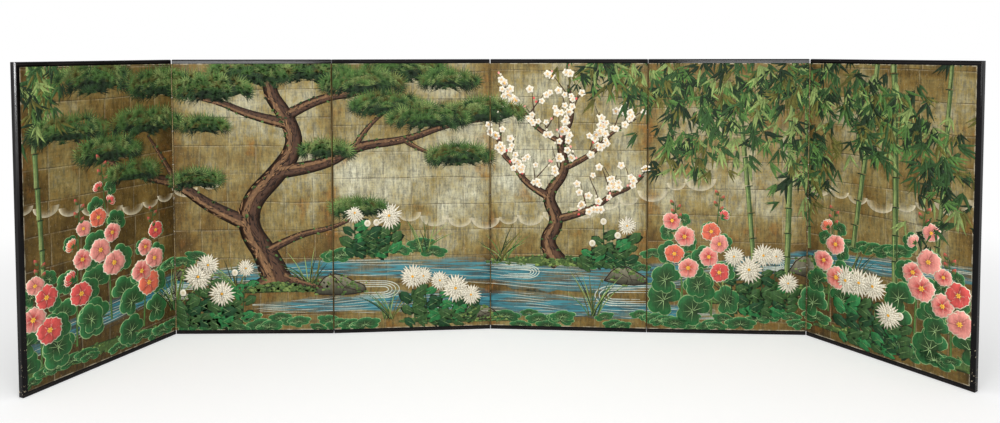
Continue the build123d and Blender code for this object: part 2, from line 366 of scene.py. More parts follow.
def lacquerMaterial(name, look, gloss, chipped=False):
    material, tree, shader = newMaterial(name, specular=gloss)
    place = objectPlace(tree)
    z = split(place)[2]
    cloudy = noise(place, (9, 9, 9), 4)
    fine = noise(place, (260, 260, 120))
    low = remap(z, 0.0, 0.05, 1.0, 0.0)
    scuff = noise(place, (75, 75, 95), 6, 0.75, (4, 1, 2))
    worn = times(remap(scuff, 0.56, 0.68), reckon("MULTIPLY_ADD", low, 0.75, 0.12))
    if chipped:  # thickest at the foot, then a speck here and there
        chip = remap(weigh([(scuff, 1.0), (z, -0.24)]), 0.6, 0.615)
        edge = remap(lineDistance(place, [look["edge"]]), look["edgeWidth"] * 0.4, look["edgeWidth"], 1.0,
                     0.0)
        kept = times(remap(z, look["edgeFrom"], look["edgeTo"]), remap(cloudy, 0.3, 0.6, 0.7, 1.0))
        tree.links.new(times(edge, kept), shader.inputs["Coat Weight"])
        shader.inputs["Coat IOR"].default_value = look["polish"]
        shader.inputs["Coat Roughness"].default_value = look["polishRough"]
    else:
        chip = times(remap(scuff, 0.69, 0.71), low)
    # a painted highlight: a lighter, patchy band along the moulding near the top and bottom edges
    inFromEnd = least(z, minus(screen["height"], z))
    offBead = reckon("ABSOLUTE", minus(inFromEnd, look["beadHighlight"]))
    beadHighlight = times(remap(offBead, 0.0008, 0.0022, 1.0, 0.0), remap(cloudy, 0.35, 0.6, 0.3, 1.0))
    colour = mixColour(remap(cloudy, 0.35, 0.7), look["black"], look["cloudy"])
    for mark, tone in ((beadHighlight, "rubbedAndSheen"), (worn, "worn"), (chip, "wood")):
        colour = mixColour(mark, colour, look[tone])
    rough = weigh([(remap(fine, 0.3, 0.7), 0.05), (worn, 0.35), (beadHighlight, 0.15)], look["rough"])
    finish(shader, colour, rough, weigh([(cloudy, 1.0), (fine, 0.02)]), 0.0006, 0.35)
    return material


def paperMaterial(name, code, spots, foldShade=None):
    material, tree, shader = newMaterial(name, specular=0.3)
    place = objectPlace(tree)
    fibre = noise(place, (240, 240, 60), 5, 0.7)
    colour = mixColour(remap(noise(place, (14, 14, 14), 4), 0.3, 0.75, 0.0, 0.8), code, spots)
    if foldShade:  # painted shade: dark where it reaches the fold line
        broken = remap(noise(place, (1, 1, 26), 3, 0.7), 0.4, 0.56, 0.6, 0.95)
        offFold = lineDistance(place, [joint["pos_m"] for joint in frame["joints"]])
        shadedAtFold = times(broken, remap(offFold, 0.0016, 0.0045, 1.0, 0.25))
        colour = mixColour(shadedAtFold, colour, foldShade)
    colour = lighten(colour, fibre, 0.3, 0.7, 0.82, 1.1)
    finish(shader, colour, remap(fibre, 0.3, 0.7, 0.75, 0.92), fibre, 0.0003)
    return material


def woodMaterial(name, light, dark, scale):
    material, tree, shader = newMaterial(name, specular=0.3)
    place = objectPlace(tree)
    grain = noise(place, (scale, scale, scale * 0.06), 6, 0.6)
    pore = noise(place, (scale * 5, scale * 5, scale * 0.3))
    colour = mixColour(remap(grain, 0.35, 0.65), light, dark)
    colour = mixColour(remap(pore, 0.55, 0.75, 0.0, 0.4), colour, dark)
    finish(shader, colour, remap(pore, 0.3, 0.7, 0.5, 0.75), pore, 0.0003, 0.4)
    return material


backLook = {"repeat": 0.052, "line": 0.05, "ground": "#3C4A40", "print": "#8C9A78", "stain": "#2B352D"}


# linked rings, a block print laid over the whole back
def backMaterial(index, look):
    material, tree, shader = newMaterial(f"printedBack{index}", specular=0.25)
    place = canvasPlace(tree, index)
    lines = []
    for shift in (0.0, 0.5):
        x, y = split(stretch(place, (1 / look["repeat"], 1 / look["repeat"], 1), (shift, shift, 0)))[:2]
        offX, offY = minus(reckon("FRACT", x), 0.5), minus(reckon("FRACT", y), 0.5)
        radius = reckon("SQRT", reckon("MULTIPLY_ADD", offX, offX, times(offY, offY)))
        lines.append(reckon("ABSOLUTE", minus(radius, 0.5)))
    ring = remap(least(*lines), look["line"] * 0.6, look["line"], 1.0, 0.0)
    fibre = noise(place, (300, 60, 1), 4, 0.7)
    age = noise(place, (3.4, 3, 1), 5)
    printed = times(ring, remap(noise(place, (40, 40, 1), 4, 0.7), 0.3, 0.6, 0.25, 0.9))
    colour = mixColour(remap(age, 0.35, 0.7), look["ground"], look["stain"])
    colour = lighten(mixColour(printed, colour, look["print"]), fibre, 0.3, 0.7, 0.85, 1.12)
    finish(shader, colour, remap(fibre, 0.3, 0.7, 0.7, 0.88), weigh([(fibre, 1.0), (printed, 0.4)]), 0.0003)
    return material


finishes = {
    "top_strip": lacquerMaterial("blackLacquer", lacquerLook, gloss=0.13),
    "left_stile": lacquerMaterial("stileLacquer", lacquerLook, gloss=0.12, chipped=True),
    "lining_papers": paperMaterial("liningPaper", "#B5A16F", "#92794A"),
    # the hinge paper gets painted shade along the fold lines
    "hinge_wings": paperMaterial("hingePaper", "#B39A62", "#8E7140", foldShade="#33260F"),
    "core_frame": woodMaterial("cedarFrame", "#C79F6B", "#A0754A", scale=60),
    "core_ribs": woodMaterial("cedarRibs", "#D0AC7A", "#AD8352", scale=70),
    "strip_pegs": woodMaterial("bambooPegs", "#C8AF72", "#A68C50", scale=160),
}
finishes["bottom_strip"] = finishes["top_strip"]
finishes["right_stile"] = finishes["left_stile"]
for index in places:
    finishes[nodeName(index, "picture_sheet")] = pictureMaterial(index)
    finishes[nodeName(index, "back_paper")] = backMaterial(index, backLook)
for name, node in frame["nodes"].items():
    kind = name.split("_", 2)[2]
    node.data.materials.clear()
    node.data.materials.append(finishes.get(name) or finishes[kind])
print("finishes: every frame node has its material")

# the bend of the hinge paper along each fold line: it stays put whichever way the fold turns
creaseLook = {
    "radius": 0.00037,
    "ease": 0.00004,  # it leans this far on to its own panel's wings
    "cuts": 80, "squeeze": 0.16,
    "front": ("fold_1_2", "fold_3_4", "fold_5_6"),  # the folds that bend at the panels' front face
    "tan": "#B09A58", "brown": "#3B2B14",
}


def creaseMaterial(look):
    material, tree, shader = newMaterial("creasePaper", specular=0.2)
    place = objectPlace(tree)
    patchy = noise(place, (1, 1, 24), 4, 0.7)
    handled = remap(weigh([(split(place)[2], -0.22), (patchy, 1.0)]), 0.3, 0.44)
    fibre = noise(place, (900, 900, 300))
    colour = mixColour(handled, look["tan"], look["brown"])
    finish(shader, colour, remap(fibre, 0.3, 0.7, 0.7, 0.9), fibre, 0.0001)
    return material


def creaseLine(joint, look, material):
    own = places[int(joint["parent"][-1])]
    onRight = joint["child"] > joint["parent"]
    atFront = joint["name"] in look["front"]
    inward = own["along"] * (-1 if onRight else 1) + own["away"] * (1 if atFront else -1)
    middle = Vector(joint["pos_m"]) + inward.normalized() * look["ease"]
    middle.z = screen["height"] / 2
    bm = bmesh.new()
    bmesh.ops.create_cone(bm, cap_ends=True, segments=8, radius1=look["radius"], radius2=look["radius"],
                          depth=screen["top"] - screen["stripFace"], matrix=Matrix.Translation(middle))
    upright = [e for e in bm.edges if abs(e.verts[0].co.z - e.verts[1].co.z) > 0.5]
    bmesh.ops.subdivide_edges(bm, edges=upright, cuts=look["cuts"])
    for v in bm.verts:
        squeeze = random.uniform(0.0, look["squeeze"])
        v.co.x += (middle.x - v.co.x) * squeeze
        v.co.y += (middle.y - v.co.y) * squeeze
    bmesh.ops.recalc_face_normals(bm, faces=bm.faces[:])
    piece = meshObject("hinge_crease_" + joint["name"].removeprefix("fold_"), bm, material)
    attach(piece, joint["parent"])


random.seed(5)
creasePaper = creaseMaterial(creaseLook)
for joint in frame["joints"]:
    creaseLine(joint, creaseLook, creasePaper)

# the painting is laid out flat first: x runs along all six panels, y up, z out of the paper
random.seed(11)
inks = {name: rgb(code) for name, code in {
    "leafDark": "#1F321D", "leafMid": "#37562E", "leafLight": "#557A3C", "leafPale": "#8A9E5C",
    "leafOld": "#66642F", "vivid": "#2F7440", "vividDark": "#1F4427", "leafHeart": "#273A1D",
    "vein": "#A9CB8C", "culm": "#50693B", "culmLight": "#8F9A62", "outline": "#241A14", "bark": "#3F2B20",
    "barkMid": "#5A4030", "barkLight": "#96724F", "moss": "#55703A", "mossDark": "#34452A",
    "mossLight": "#7F9450", "rose": "#DC5C57", "roseDark": "#A33331", "rosePale": "#F0A396",
    "coral": "#E8795C", "orange": "#EE8E35", "yellow": "#EFC247", "cream": "#EFE6CC", "creamDark": "#B9A981",
    "white": "#F2ECDA", "mist": "#DCD2B4", "stoneLight": "#86826A", "stoneDark": "#33332A",
    "water": "#256F82", "waterPale": "#6BA3A8", "ripple": "#D3DBCC",
}.items()}
canvas = {"left": screen["stripFace"], "right": screen["width"] - screen["stripFace"],
          "bottom": screen["stripFace"], "top": screen["top"]}
millimetre = 0.001
paint = {}  # coat of paint: list of (points, colours, face corners, face sizes)


def tell(part):
    print("painting:", part, sum(len(marks) for marks in paint.values()), "marks")


# reads a mesh that isn't needed any more
def readShape(mesh):
    points = np.empty(len(mesh.vertices) * 3)
    mesh.vertices.foreach_get("co", points)
    corners = np.empty(len(mesh.loops), dtype=np.int32)
    mesh.loops.foreach_get("vertex_index", corners)
    sizes = np.empty(len(mesh.polygons), dtype=np.int32)
    mesh.polygons.foreach_get("loop_total", sizes)
    bpy.data.meshes.remove(mesh)
    return {"points": points.reshape(-1, 3), "corners": corners, "sizes": sizes}


# a flat outline gets its thickness and closed sides, and is stamped at any height later
def raiseShape(bm, thickness=1.0):
    bmesh.ops.remove_doubles(bm, verts=bm.verts[:], dist=0.002 * thickness)
    raised = bmesh.ops.extrude_face_region(bm, geom=bm.faces[:])
    verts = [g for g in raised["geom"] if isinstance(g, bmesh.types.BMVert)]
    bmesh.ops.translate(bm, vec=(0, 0, thickness), verts=verts)
    bmesh.ops.recalc_face_normals(bm, faces=bm.faces[:])
    mesh = bpy.data.meshes.new("shape")
    bm.to_mesh(mesh)
    bm.free()
    return readShape(mesh)


def bladeShape(columns, rows, halfWidth, tipDrop=0.0, ripple=0.0):
    bm = bmesh.new()
    bmesh.ops.create_grid(bm, x_segments=columns, y_segments=rows, size=0.5)
    for v in bm.verts:
        side, t = v.co.x * 2, v.co.y + 0.5
        v.co.x = side * halfWidth(t)
        v.co.y = t * (1 - tipDrop * side * side + ripple * math.cos(side * 9.4))
    return raiseShape(bm)


def discShape(segments, rings, outline):
    bm = bmesh.new()
    bmesh.ops.create_circle(bm, cap_ends=True, cap_tris=True, segments=segments, radius=1 / rings)
    for ring in range(1, rings):
        rim = [e for e in bm.edges if e.is_boundary]
        grown = bmesh.ops.extrude_edge_only(bm, edges=rim)
        moved = [g for g in grown["geom"] if isinstance(g, bmesh.types.BMVert)]
        bmesh.ops.scale(bm, vec=((ring + 1) / ring, (ring + 1) / ring, 1), verts=moved)
    for v in bm.verts:
        reach = v.co.xy.length
        v.co.xy *= 1 + (outline(math.atan2(v.co.y, v.co.x)) - 1) * reach
    return raiseShape(bm)


# half a ring, open side down, for the scallops of the mist
def archShape(segments, rings, inner):
    bm = bmesh.new()
    bmesh.ops.create_grid(bm, x_segments=segments, y_segments=rings, size=0.5)
    for v in bm.verts:
        turn, reach = v.co.x * math.pi, inner + (1 - inner) * (v.co.y + 0.5)
        v.co.x, v.co.y = math.sin(turn) * reach, math.cos(turn) * reach
    return raiseShape(bm)


def fanShape(blades, spread, halfWidth):
    bm = bmesh.new()
    for step in range(blades):
        turn = math.radians(spread) * (step / (blades - 1) - 0.5)
        reach = 1 - 0.22 * abs(math.sin(turn)) - 0.1 * (step % 2)
        way = Vector((math.sin(turn), math.cos(turn), 0))
        across = Vector((way.y, -way.x, 0)) * halfWidth
        bm.faces.new([bm.verts.new(p) for p in (way * 0.05 - across, way * reach, way * 0.05 + across)])
    return raiseShape(bm)


def lobes(count, depth, notch):
    def outline(angle):
        gap = math.remainder(angle + math.pi / 2, 2 * math.pi)
        wave = abs(math.cos(count * (angle - math.pi / 2) / 2))
        return 1 - depth + depth * wave ** 0.6 - notch * math.exp(-(gap / 0.3) ** 2)
    return outline


shapes = {
    "slimLeaf": bladeShape(2, 4, lambda t: 0.5 * math.sin(math.pi * t ** 0.62) * (1 - 0.25 * t)),
    "grassBlade": bladeShape(1, 6, lambda t: 0.5 * (1 - t ** 2.2) * (0.6 + 0.4 * t)),
    "needleFan": fanShape(9, 170, 0.04),
    "broadPetal": bladeShape(6, 3, lambda t: 0.58 * t ** 0.7, tipDrop=0.34, ripple=0.05),
    "narrowPetal": bladeShape(2, 3, lambda t: 0.5 * math.sin(math.pi * min(1, 0.12 + 0.8 * t)) ** 0.6,
                              tipDrop=0.14),
    "roundPetal": bladeShape(2, 4, lambda t: 0.52 * math.sin(math.pi * (0.04 + 0.94 * t) ** 0.8) ** 0.7),
    "dot": discShape(7, 1, lambda angle: 1),
    "disc": discShape(16, 2, lambda angle: 1),
    "lobedLeaf": discShape(30, 3, lobes(5, 0.2, 0.5)),
    "cutLeaf": discShape(14, 1, lobes(5, 0.34, 0.2)),
    "rays": fanShape(7, 250, 0.022),
    "arch": archShape(12, 4, 0.3),
    "internode": bladeShape(2, 4, lambda t: 0.44 + 0.06 * abs(2 * t - 1) ** 6),
}


def between(low, high):
    return random.uniform(low, high)


def jitter(amount):
    return random.uniform(-amount, amount)


# a tone is the name of an ink, or its name with how light it is and how well it covers
def ink(tone):
    name, light, cover = (tone, 1.0, 1.0) if isinstance(tone, str) else (*tone, 1.0)[:3]
    return np.array([c * light for c in inks[name][:3]] + [cover])


def mixInks(first, second, share):
    return ink(first) * (1 - share) + ink(second) * share


def addMark(coat, data, points, colours):
    paint.setdefault(coat, []).append((points, colours, data["corners"], data["sizes"]))


# puts one copy of a shape on a coat: lean is clockwise from upright, lift is its height in millimetres
def stamp(coat, shape, x, y, lean, width, length, lift, root, tip=None, radial=False, bend=0.0, power=1.0):
    data = shapes[shape]
    local = data["points"]
    share = np.hypot(local[:, 0], local[:, 1]) if radial else local[:, 1]
    share = np.clip(share, 0, 1)[:, None] ** power
    turn = math.radians(lean)
    across = local[:, 0] * width + bend * length * local[:, 1] ** 2
    upward = local[:, 1] * length
    points = np.stack([x + across * math.cos(turn) + upward * math.sin(turn),
                       y - across * math.sin(turn) + upward * math.cos(turn),
                       local[:, 2] * lift * millimetre], axis=1)
    addMark(coat, data, points, mixInks(root, tip or root, share))


# stamps on one spot: widths and lengths are shares of one size, and heights count from one level
def stampsAt(coat, x, y, size, lift):
    def put(shape, lean, width, length, level, root, tip=None, **how):
        stamp(coat, shape, x, y, lean, size * width, size * length, lift + level, root, tip, **how)
    return put


def lineCurve(points, smooth, level=0.0):
    curve = bpy.data.curves.new("line", "CURVE")
    curve.dimensions = "3D"
    curve.resolution_u = smooth
    spline = curve.splines.new("NURBS")
    spline.points.add(len(points) - 1)
    for spot, (x, y, half) in zip(spline.points, points):
        spot.co = (x, y, half * level, 1)
        spot.radius = half
    spline.order_u = min(3, len(points))
    spline.use_endpoint_u = True
    return curve


def curveMesh(curve):
    holder = bpy.data.objects.new("line", curve)
    mesh = bpy.data.meshes.new_from_object(holder)
    bpy.data.objects.remove(holder)
    bpy.data.curves.remove(curve)
    return mesh


# the same smooth line that a stroke follows, as (x, y, half width)
def smoothPath(points, smooth=8):
    mesh = curveMesh(lineCurve(points, smooth, level=1.0))
    path = [tuple(v.co) for v in mesh.vertices]
    bpy.data.meshes.remove(mesh)
    return path


# one brush stroke, highest along its middle: points are (x, y, half width), base and lift are millimetres
def stroke(coat, points, lift, edge, crest=None, smooth=4, base=0.0):
    curve = lineCurve(points, smooth)
    curve.bevel_depth = 1
    curve.bevel_resolution = 1
    curve.use_fill_caps = True
    data = readShape(curveMesh(curve))
    flat = data["points"]
    rise = flat[:, 2] / max(point[2] for point in points)
    flat[:, 2] = (base + (rise * 0.5 + 0.5) * lift) * millimetre
    addMark(coat, data, flat, mixInks(edge, crest or edge, np.clip(rise, 0, 1)[:, None]))


def pathLength(points):
    return sum(math.dist(a[:2], b[:2]) for a, b in zip(points, points[1:]))


# the point and heading at a share of the way along a list of points
def alongPath(points, share):
    left = share * pathLength(points)
    for a, b in zip(points, points[1:]):
        span = math.dist(a[:2], b[:2])
        if left <= span or b is points[-1]:
            t = min(1.0, left / max(span, 1e-9))
            spot = [p + (q - p) * t for p, q in zip(a, b)]
            return spot, math.degrees(math.atan2(b[0] - a[0], b[1] - a[1]))
        left -= span


# a line beside a path, some half widths to its left
def besidePath(path, off, half):
    line = []
    for a, b in list(zip(path, path[1:]))[::3]:
        span = max(math.dist(a[:2], b[:2]), 1e-9)
        line.append((a[0] - (b[1] - a[1]) / span * a[2] * off, a[1] + (b[0] - a[0]) / span * a[2] * off,
                     a[2] * half))
    return line


# a spot beside a path, with the half width and heading there
def besideSpot(path, share, off):
    (x, y, half), heading = alongPath(path, share)
    turn = math.radians(heading)
    return x - math.cos(turn) * half * off, y + math.sin(turn) * half * off, half, heading


streamLook = {
    "lines": 8,  # ripples side by side on each arm
    "rippleHalf": 0.0012, "deep": "#154B58", "shallow": "#418791",
    "arms": [  # x, middle height, half depth
        [(-0.05, 0.15, 0.048), (0.34, 0.165, 0.044), (0.78, 0.225, 0.04), (1.25, 0.258, 0.04),
         (1.72, 0.235, 0.056), (2.15, 0.2, 0.06), (2.65, 0.235, 0.046), (3.15, 0.315, 0.034),
         (3.7, 0.385, 0.026)],
        [(0.9, 0.1, 0.02), (1.3, 0.115, 0.044), (1.77, 0.118, 0.052), (2.25, 0.092, 0.044),
         (2.72, 0.072, 0.02)],
    ],
    # x, y, reach, half height and way of each eddy
    "eddies": [(1.4, 0.168, 0.16, 0.034, 1), (2.3, 0.142, 0.22, 0.04, -1), (0.6, 0.165, 0.14, 0.028, -1),
               (1.96, 0.23, 0.16, 0.026, 1), (2.92, 0.27, 0.12, 0.02, 1)],
}


def streamArm(points):
    path = smoothPath(points, 10)
    bm = bmesh.new()
    bmesh.ops.create_grid(bm, x_segments=90, y_segments=8, size=0.5)
    covers = []
    for v in bm.verts:
        x, middle, half = alongPath(path, v.co.x + 0.5)[0]
        side = v.co.y * 2
        ragged = math.sin(x * 23) * 0.12 + math.sin(x * 57 + side) * 0.08
        v.co = (x, middle + side * half * (1 + ragged), 0)
        ends = min(1.0, 6 * (x - points[0][0]), 6 * (points[-1][0] - x))
        covers.append(max(0.0, min(1.0, (1 - abs(side)) * 2.6) ** 0.8 * ends))
    data = raiseShape(bm, 0.0002)
    shade = np.tile(np.array(covers), len(data["points"]) // len(covers))[:, None]
    colours = mixInks("waterPale", "water", shade)
    colours[:, 3] = shade[:, 0]
    addMark("stream", data, data["points"], colours)


def ripples(points, lines):
    path = smoothPath(points, 6)
    for line in range(lines):
        side = (line + 0.5) / lines * 2 - 1
        start = jitter(0.1)
        while start < 0.97:
            length = between(0.03, 0.12)
            run = []
            for k in range(6):
                x, middle, half = alongPath(path, min(1, max(0, start + length * k / 5)))[0]
                y = middle + side * half * 0.9 + math.sin(x * 31 + line) * 0.0022
                run.append((x, y, streamLook["rippleHalf"] * math.sin(math.pi * (k + 0.4) / 5.8)))
            stroke("ripple", run, 0.45, ("ripple", between(0.75, 1.0), 0.8), smooth=2)
            start += length + between(0.02, 0.1)


# nested turns of water round a quiet place
def eddy(x, y, reach, half, way):
    for turn in range(4):
        size = half * (1 - turn * 0.22)
        points = [(x - way * reach * (1 - turn * 0.1), y + size * 1.1, 0.0006)]
        for step in range(9):
            angle = math.pi * (0.5 - step / 8)
            points.append((x + way * math.cos(angle) * size * 1.9, y + math.sin(angle) * size, 0.0017))
        points.append((x - way * reach * (0.75 - turn * 0.1), y - size * 0.9, 0.0006))
        stroke("ripple", points, 0.5, ("ripple", 1.0, 0.9), smooth=3)


for arm in streamLook["arms"]:
    streamArm(arm)
    ripples(arm, streamLook["lines"])
for place in streamLook["eddies"]:
    eddy(*place)
tell("stream")

mistLook = {
    "banks": [
        [(-0.02, 0.61), (0.2, 0.575), (0.4, 0.53), (0.58, 0.545), (0.74, 0.6)],
        [(1.46, 0.475), (1.68, 0.435), (1.95, 0.445), (2.22, 0.49), (2.42, 0.545), (2.58, 0.6)],
        [(3.02, 0.6), (3.22, 0.56), (3.42, 0.565), (3.66, 0.62)],
    ],
    "lobe": 0.046,  # half the width of a scallop
}


# only the lower, scalloped edge of a bank of mist shows: each scallop fades upwards into the ground
def mistBank(points, lobe):
    pathX, pathY = list(zip(*smoothPath([(x, y, 0.01) for x, y in points])))[:2]
    x, step = pathX[0], 0
    while x < pathX[-1]:
        size = lobe * between(0.62, 1.25)
        x += size
        stamp("mist", "arch", x, float(np.interp(x, pathX, pathY)), 180, size * 1.04, size * 0.8,
              0.1 + (step % 3) * 0.02, ("mist", 1.0, 0.0), ("mist", 1.0, 0.85), radial=True, power=4)
        x += size
        step += 1


for points in mistLook["banks"]:
    mistBank(points, mistLook["lobe"])
tell("mist")

bankLook = {
    # x, y and half height along each mossy bank
    "banks": [
        [(0.74, 0.165, 0.006), (0.86, 0.178, 0.02), (1.0, 0.188, 0.026), (1.16, 0.186, 0.022),
         (1.3, 0.19, 0.006)],
        [(1.8, 0.268, 0.005), (1.92, 0.272, 0.016), (2.06, 0.276, 0.022), (2.22, 0.272, 0.018),
         (2.38, 0.28, 0.005)],
        [(2.56, 0.125, 0.005), (2.72, 0.13, 0.018), (2.9, 0.15, 0.022), (3.08, 0.19, 0.018),
         (3.24, 0.215, 0.005)],
        [(0.02, 0.06, 0.02), (0.2, 0.066, 0.022), (0.42, 0.06, 0.016), (0.6, 0.045, 0.005)],
        [(3.06, 0.055, 0.005), (3.22, 0.062, 0.018), (3.44, 0.07, 0.022), (3.63, 0.075, 0.02)],
        [(1.18, 0.318, 0.004), (1.28, 0.322, 0.012), (1.42, 0.322, 0.013), (1.56, 0.316, 0.004)],
        [(1.46, 0.04, 0.004), (1.58, 0.046, 0.013), (1.74, 0.044, 0.014), (1.92, 0.038, 0.004)],
    ],
    "dabs": 230,  # for each metre of bank
}


def mossyBank(points):
    path = smoothPath(points)
    stroke("bank", points, 0.3, ("mossDark", 0.9), ("moss", 0.8), smooth=5)
    for dab in range(int(pathLength(path) * bankLook["dabs"])):
        x, y, half = alongPath(path, random.random())[0]
        off = between(-1.0, 1.15)
        tone = ("moss" if off < 0.2 else random.choice(["moss", "mossLight"]), between(0.7, 1.15))
        stamp("bank", "dot", x, y + off * half, jitter(40), between(0.004, 0.009), between(0.003, 0.005),
              0.34 + (dab % 9) * 0.015, tone)


for bank in bankLook["banks"]:
    mossyBank(bank)
tell("banks")

pineLook = {
    "tufts": 980,  # for each metre of a cushion's half width
    "needle": 0.042,
    # tones of the needles, low and high on a cushion
    "low": ["leafDark", "leafDark", "leafMid"],
    "high": ["leafMid", "leafLight", "leafLight", "leafLight", "leafOld", "leafPale"],
    "trunk": [(1.0, 0.195, 0.062), (0.965, 0.3, 0.047), (0.885, 0.41, 0.043), (0.9, 0.52, 0.04),
              (1.0, 0.62, 0.038), (1.08, 0.73, 0.034), (1.04, 0.845, 0.03), (0.96, 0.95, 0.027),
              (0.98, 1.08, 0.024)],
    "limbs": [
        [(0.885, 0.43, 0.03), (0.745, 0.49, 0.024), (0.62, 0.59, 0.019), (0.46, 0.635, 0.015),
         (0.32, 0.71, 0.01), (0.21, 0.79, 0.004)],
        [(1.01, 0.63, 0.028), (1.18, 0.65, 0.023), (1.3, 0.73, 0.019), (1.49, 0.745, 0.015),
         (1.67, 0.815, 0.01), (1.82, 0.825, 0.004)],
        [(1.04, 0.845, 0.022), (1.16, 0.915, 0.017), (1.33, 0.93, 0.012), (1.47, 0.98, 0.005)],
        [(1.04, 0.815, 0.022), (0.9, 0.845, 0.016), (0.765, 0.91, 0.012), (0.61, 0.93, 0.005)],
        [(0.62, 0.59, 0.013), (0.55, 0.705, 0.009), (0.49, 0.785, 0.004)],
        [(1.3, 0.73, 0.012), (1.355, 0.825, 0.008), (1.43, 0.865, 0.004)],
        [(1.49, 0.745, 0.01), (1.57, 0.69, 0.007), (1.69, 0.67, 0.004)],
        [(0.965, 0.325, 0.018), (1.08, 0.39, 0.013), (1.215, 0.41, 0.009), (1.315, 0.46, 0.004)],
    ],
    "roots": [[(0.98, 0.225, 0.024), (0.92, 0.19, 0.016), (0.85, 0.176, 0.005)],
              [(1.02, 0.225, 0.024), (1.08, 0.192, 0.017), (1.17, 0.182, 0.005)]],
    # x, y and half width of each cushion of needles
    "cushions": [(0.18, 0.82, 0.13), (0.33, 0.735, 0.12), (0.49, 0.82, 0.14), (0.43, 0.645, 0.1),
                 (0.58, 0.955, 0.15), (0.76, 0.935, 0.14), (0.9, 1.0, 0.15), (1.12, 1.01, 0.15),
                 (1.33, 0.955, 0.15), (1.48, 1.01, 0.15), (1.42, 0.875, 0.13), (1.58, 0.825, 0.14),
                 (1.8, 0.845, 0.14), (1.7, 0.675, 0.12), (1.31, 0.475, 0.1), (1.19, 0.705, 0.09),
                 (0.7, 0.59, 0.09), (0.28, 0.985, 0.14), (0.73, 0.8, 0.08), (1.66, 0.97, 0.1)],
}


barkLook = {"marks": 330, "moss": 34}  # for each metre of a trunk or limb


def barkStroke(points, moss=1.0):
    path = smoothPath(points)
    stroke("wood", points, 0.55, "outline", "bark", smooth=6)
    inner = [(x, y, half * 0.84) for x, y, half in points]
    stroke("wood", inner, 0.26, "bark", "barkMid", smooth=6, base=0.38)
    lit = besidePath(path, 0.34, 0.34)
    stroke("wood", lit, 0.12, ("barkMid", 1.1), ("barkLight", 0.8), smooth=2, base=0.58)
    for mark in range(int(pathLength(path) * barkLook["marks"] * (points[0][2] / 0.05) ** 0.5)):
        share, off = random.random(), jitter(0.86)
        x, y, half, heading = besideSpot(path, share, off)
        pale = off > 0.05 and random.random() > 0.35
        tone = ("barkLight", between(0.65, 1.1)) if pale else ("outline", between(0.8, 1.6))
        stamp("wood", "slimLeaf", x, y, heading + jitter(30), between(0.0025, 0.006),
              half * between(0.35, 0.9), 0.72 + (mark % 8) * 0.01, tone)
    for _ in range(int(pathLength(path) * barkLook["moss"] * moss)):
        share, off = random.random(), random.choice([0.9, 0.75, -0.85]) + jitter(0.15)
        x, y = besideSpot(path, share, off)[:2]
        stamp("wood", "dot", x, y, jitter(50), between(0.004, 0.008), between(0.003, 0.005), 0.82,
              (random.choice(["moss", "mossDark", "leafMid"]), between(0.7, 1.1)))


# a flat-footed cushion: a dark bed, then fans of needles in rows, the upper ones lighter
def needleCushion(x, y, half):
    stamp("foliage", "disc", x, y + half * 0.03, 0, half * 0.8, half * 0.2, 0.84, ("leafDark", 0.7))
    for tuft in range(int(pineLook["tufts"] * half)):
        across = jitter(1.0)
        height = random.random() ** 0.85
        px, py = x + across * half, y + (height - 0.42) * half * 0.66 * (1 - across * across) ** 0.5
        tone = random.choice(pineLook["high" if height > 0.4 else "low"])
        size = pineLook["needle"] + jitter(0.007)
        lean = across * (60 if height > 0.25 else 100) + jitter(24)
        bright = between(0.8, 1.15)
        stamp("foliage", "needleFan", px, py, lean, size, size, 0.88 + height * 0.16 + (tuft % 7) * 0.01,
              (tone, bright * 0.5), (tone, bright * 1.35))


for limb in [pineLook["trunk"]] + pineLook["limbs"] + pineLook["roots"]:
    barkStroke(limb)
for cushion in pineLook["cushions"]:
    needleCushion(*cushion)
tell("pine")

bambooLook = {
    "joint": 0.085, "longest": 0.15,  # length of the lowest joint, and of the longest
    "tones": ["leafDark", "leafDark", "leafMid", "leafMid", "leafLight", "leafPale", "leafOld"],
    "headings": [140, 160, 185, 205, 225], "leaf": (0.042, 0.07),  # the way and the length of its leaves
    "culms": [  # foot x, foot y, top x, width
        (2.83, 0.2, 2.76, 0.02), (2.95, 0.22, 2.98, 0.024), (3.04, 0.34, 3.02, 0.016),
        (3.22, 0.38, 3.29, 0.02), (3.37, 0.28, 3.35, 0.023), (3.5, 0.36, 3.55, 0.015),
        (0.075, 0.28, 0.05, 0.018),
    ],
    # x, y, half width, half height and sprays of each clump of leaves
    "clumps": [(2.48, 0.97, 0.24, 0.12, 120), (2.73, 0.88, 0.22, 0.19, 190), (2.98, 0.97, 0.21, 0.12, 130),
               (3.02, 0.7, 0.14, 0.17, 95), (3.3, 0.89, 0.21, 0.18, 190), (3.52, 0.68, 0.13, 0.2, 90),
               (2.24, 1.02, 0.15, 0.06, 50), (2.57, 0.73, 0.13, 0.12, 60), (0.07, 0.97, 0.09, 0.14, 60)],
}


# each length of the culm: its body, a dark and a pale line down it, and the joint
def culm(x, y, topX, width):
    joint, height = bambooLook["joint"], y
    lean = math.degrees(math.atan2(topX - x, screen["height"] - y))
    while height < screen["height"]:
        share = (height - y) / (screen["height"] - y)
        px = x + (topX - x) * share + math.sin(height * 4 + x * 9) * 0.006
        for off, foot, wide, length, lift, root, tip in (
                (0, 0, 1, joint * 0.965, 0.55, "culmLight", "culm"),
                (0.28, 0, 0.34, joint * 0.955, 0.6, ("culm", 0.6), None),
                (-0.22, 0, 0.12, joint * 0.93, 0.62, ("leafPale", 1.2), None),
                (0, joint * 0.955, 1.14, 0.0035, 0.68, "leafDark", None)):
            stamp("wood", "internode", px + width * off, height + foot, lean, width * wide, length, lift,
                  root, tip, power=0.6)
        height += joint
        joint = min(bambooLook["longest"], joint * 1.07)


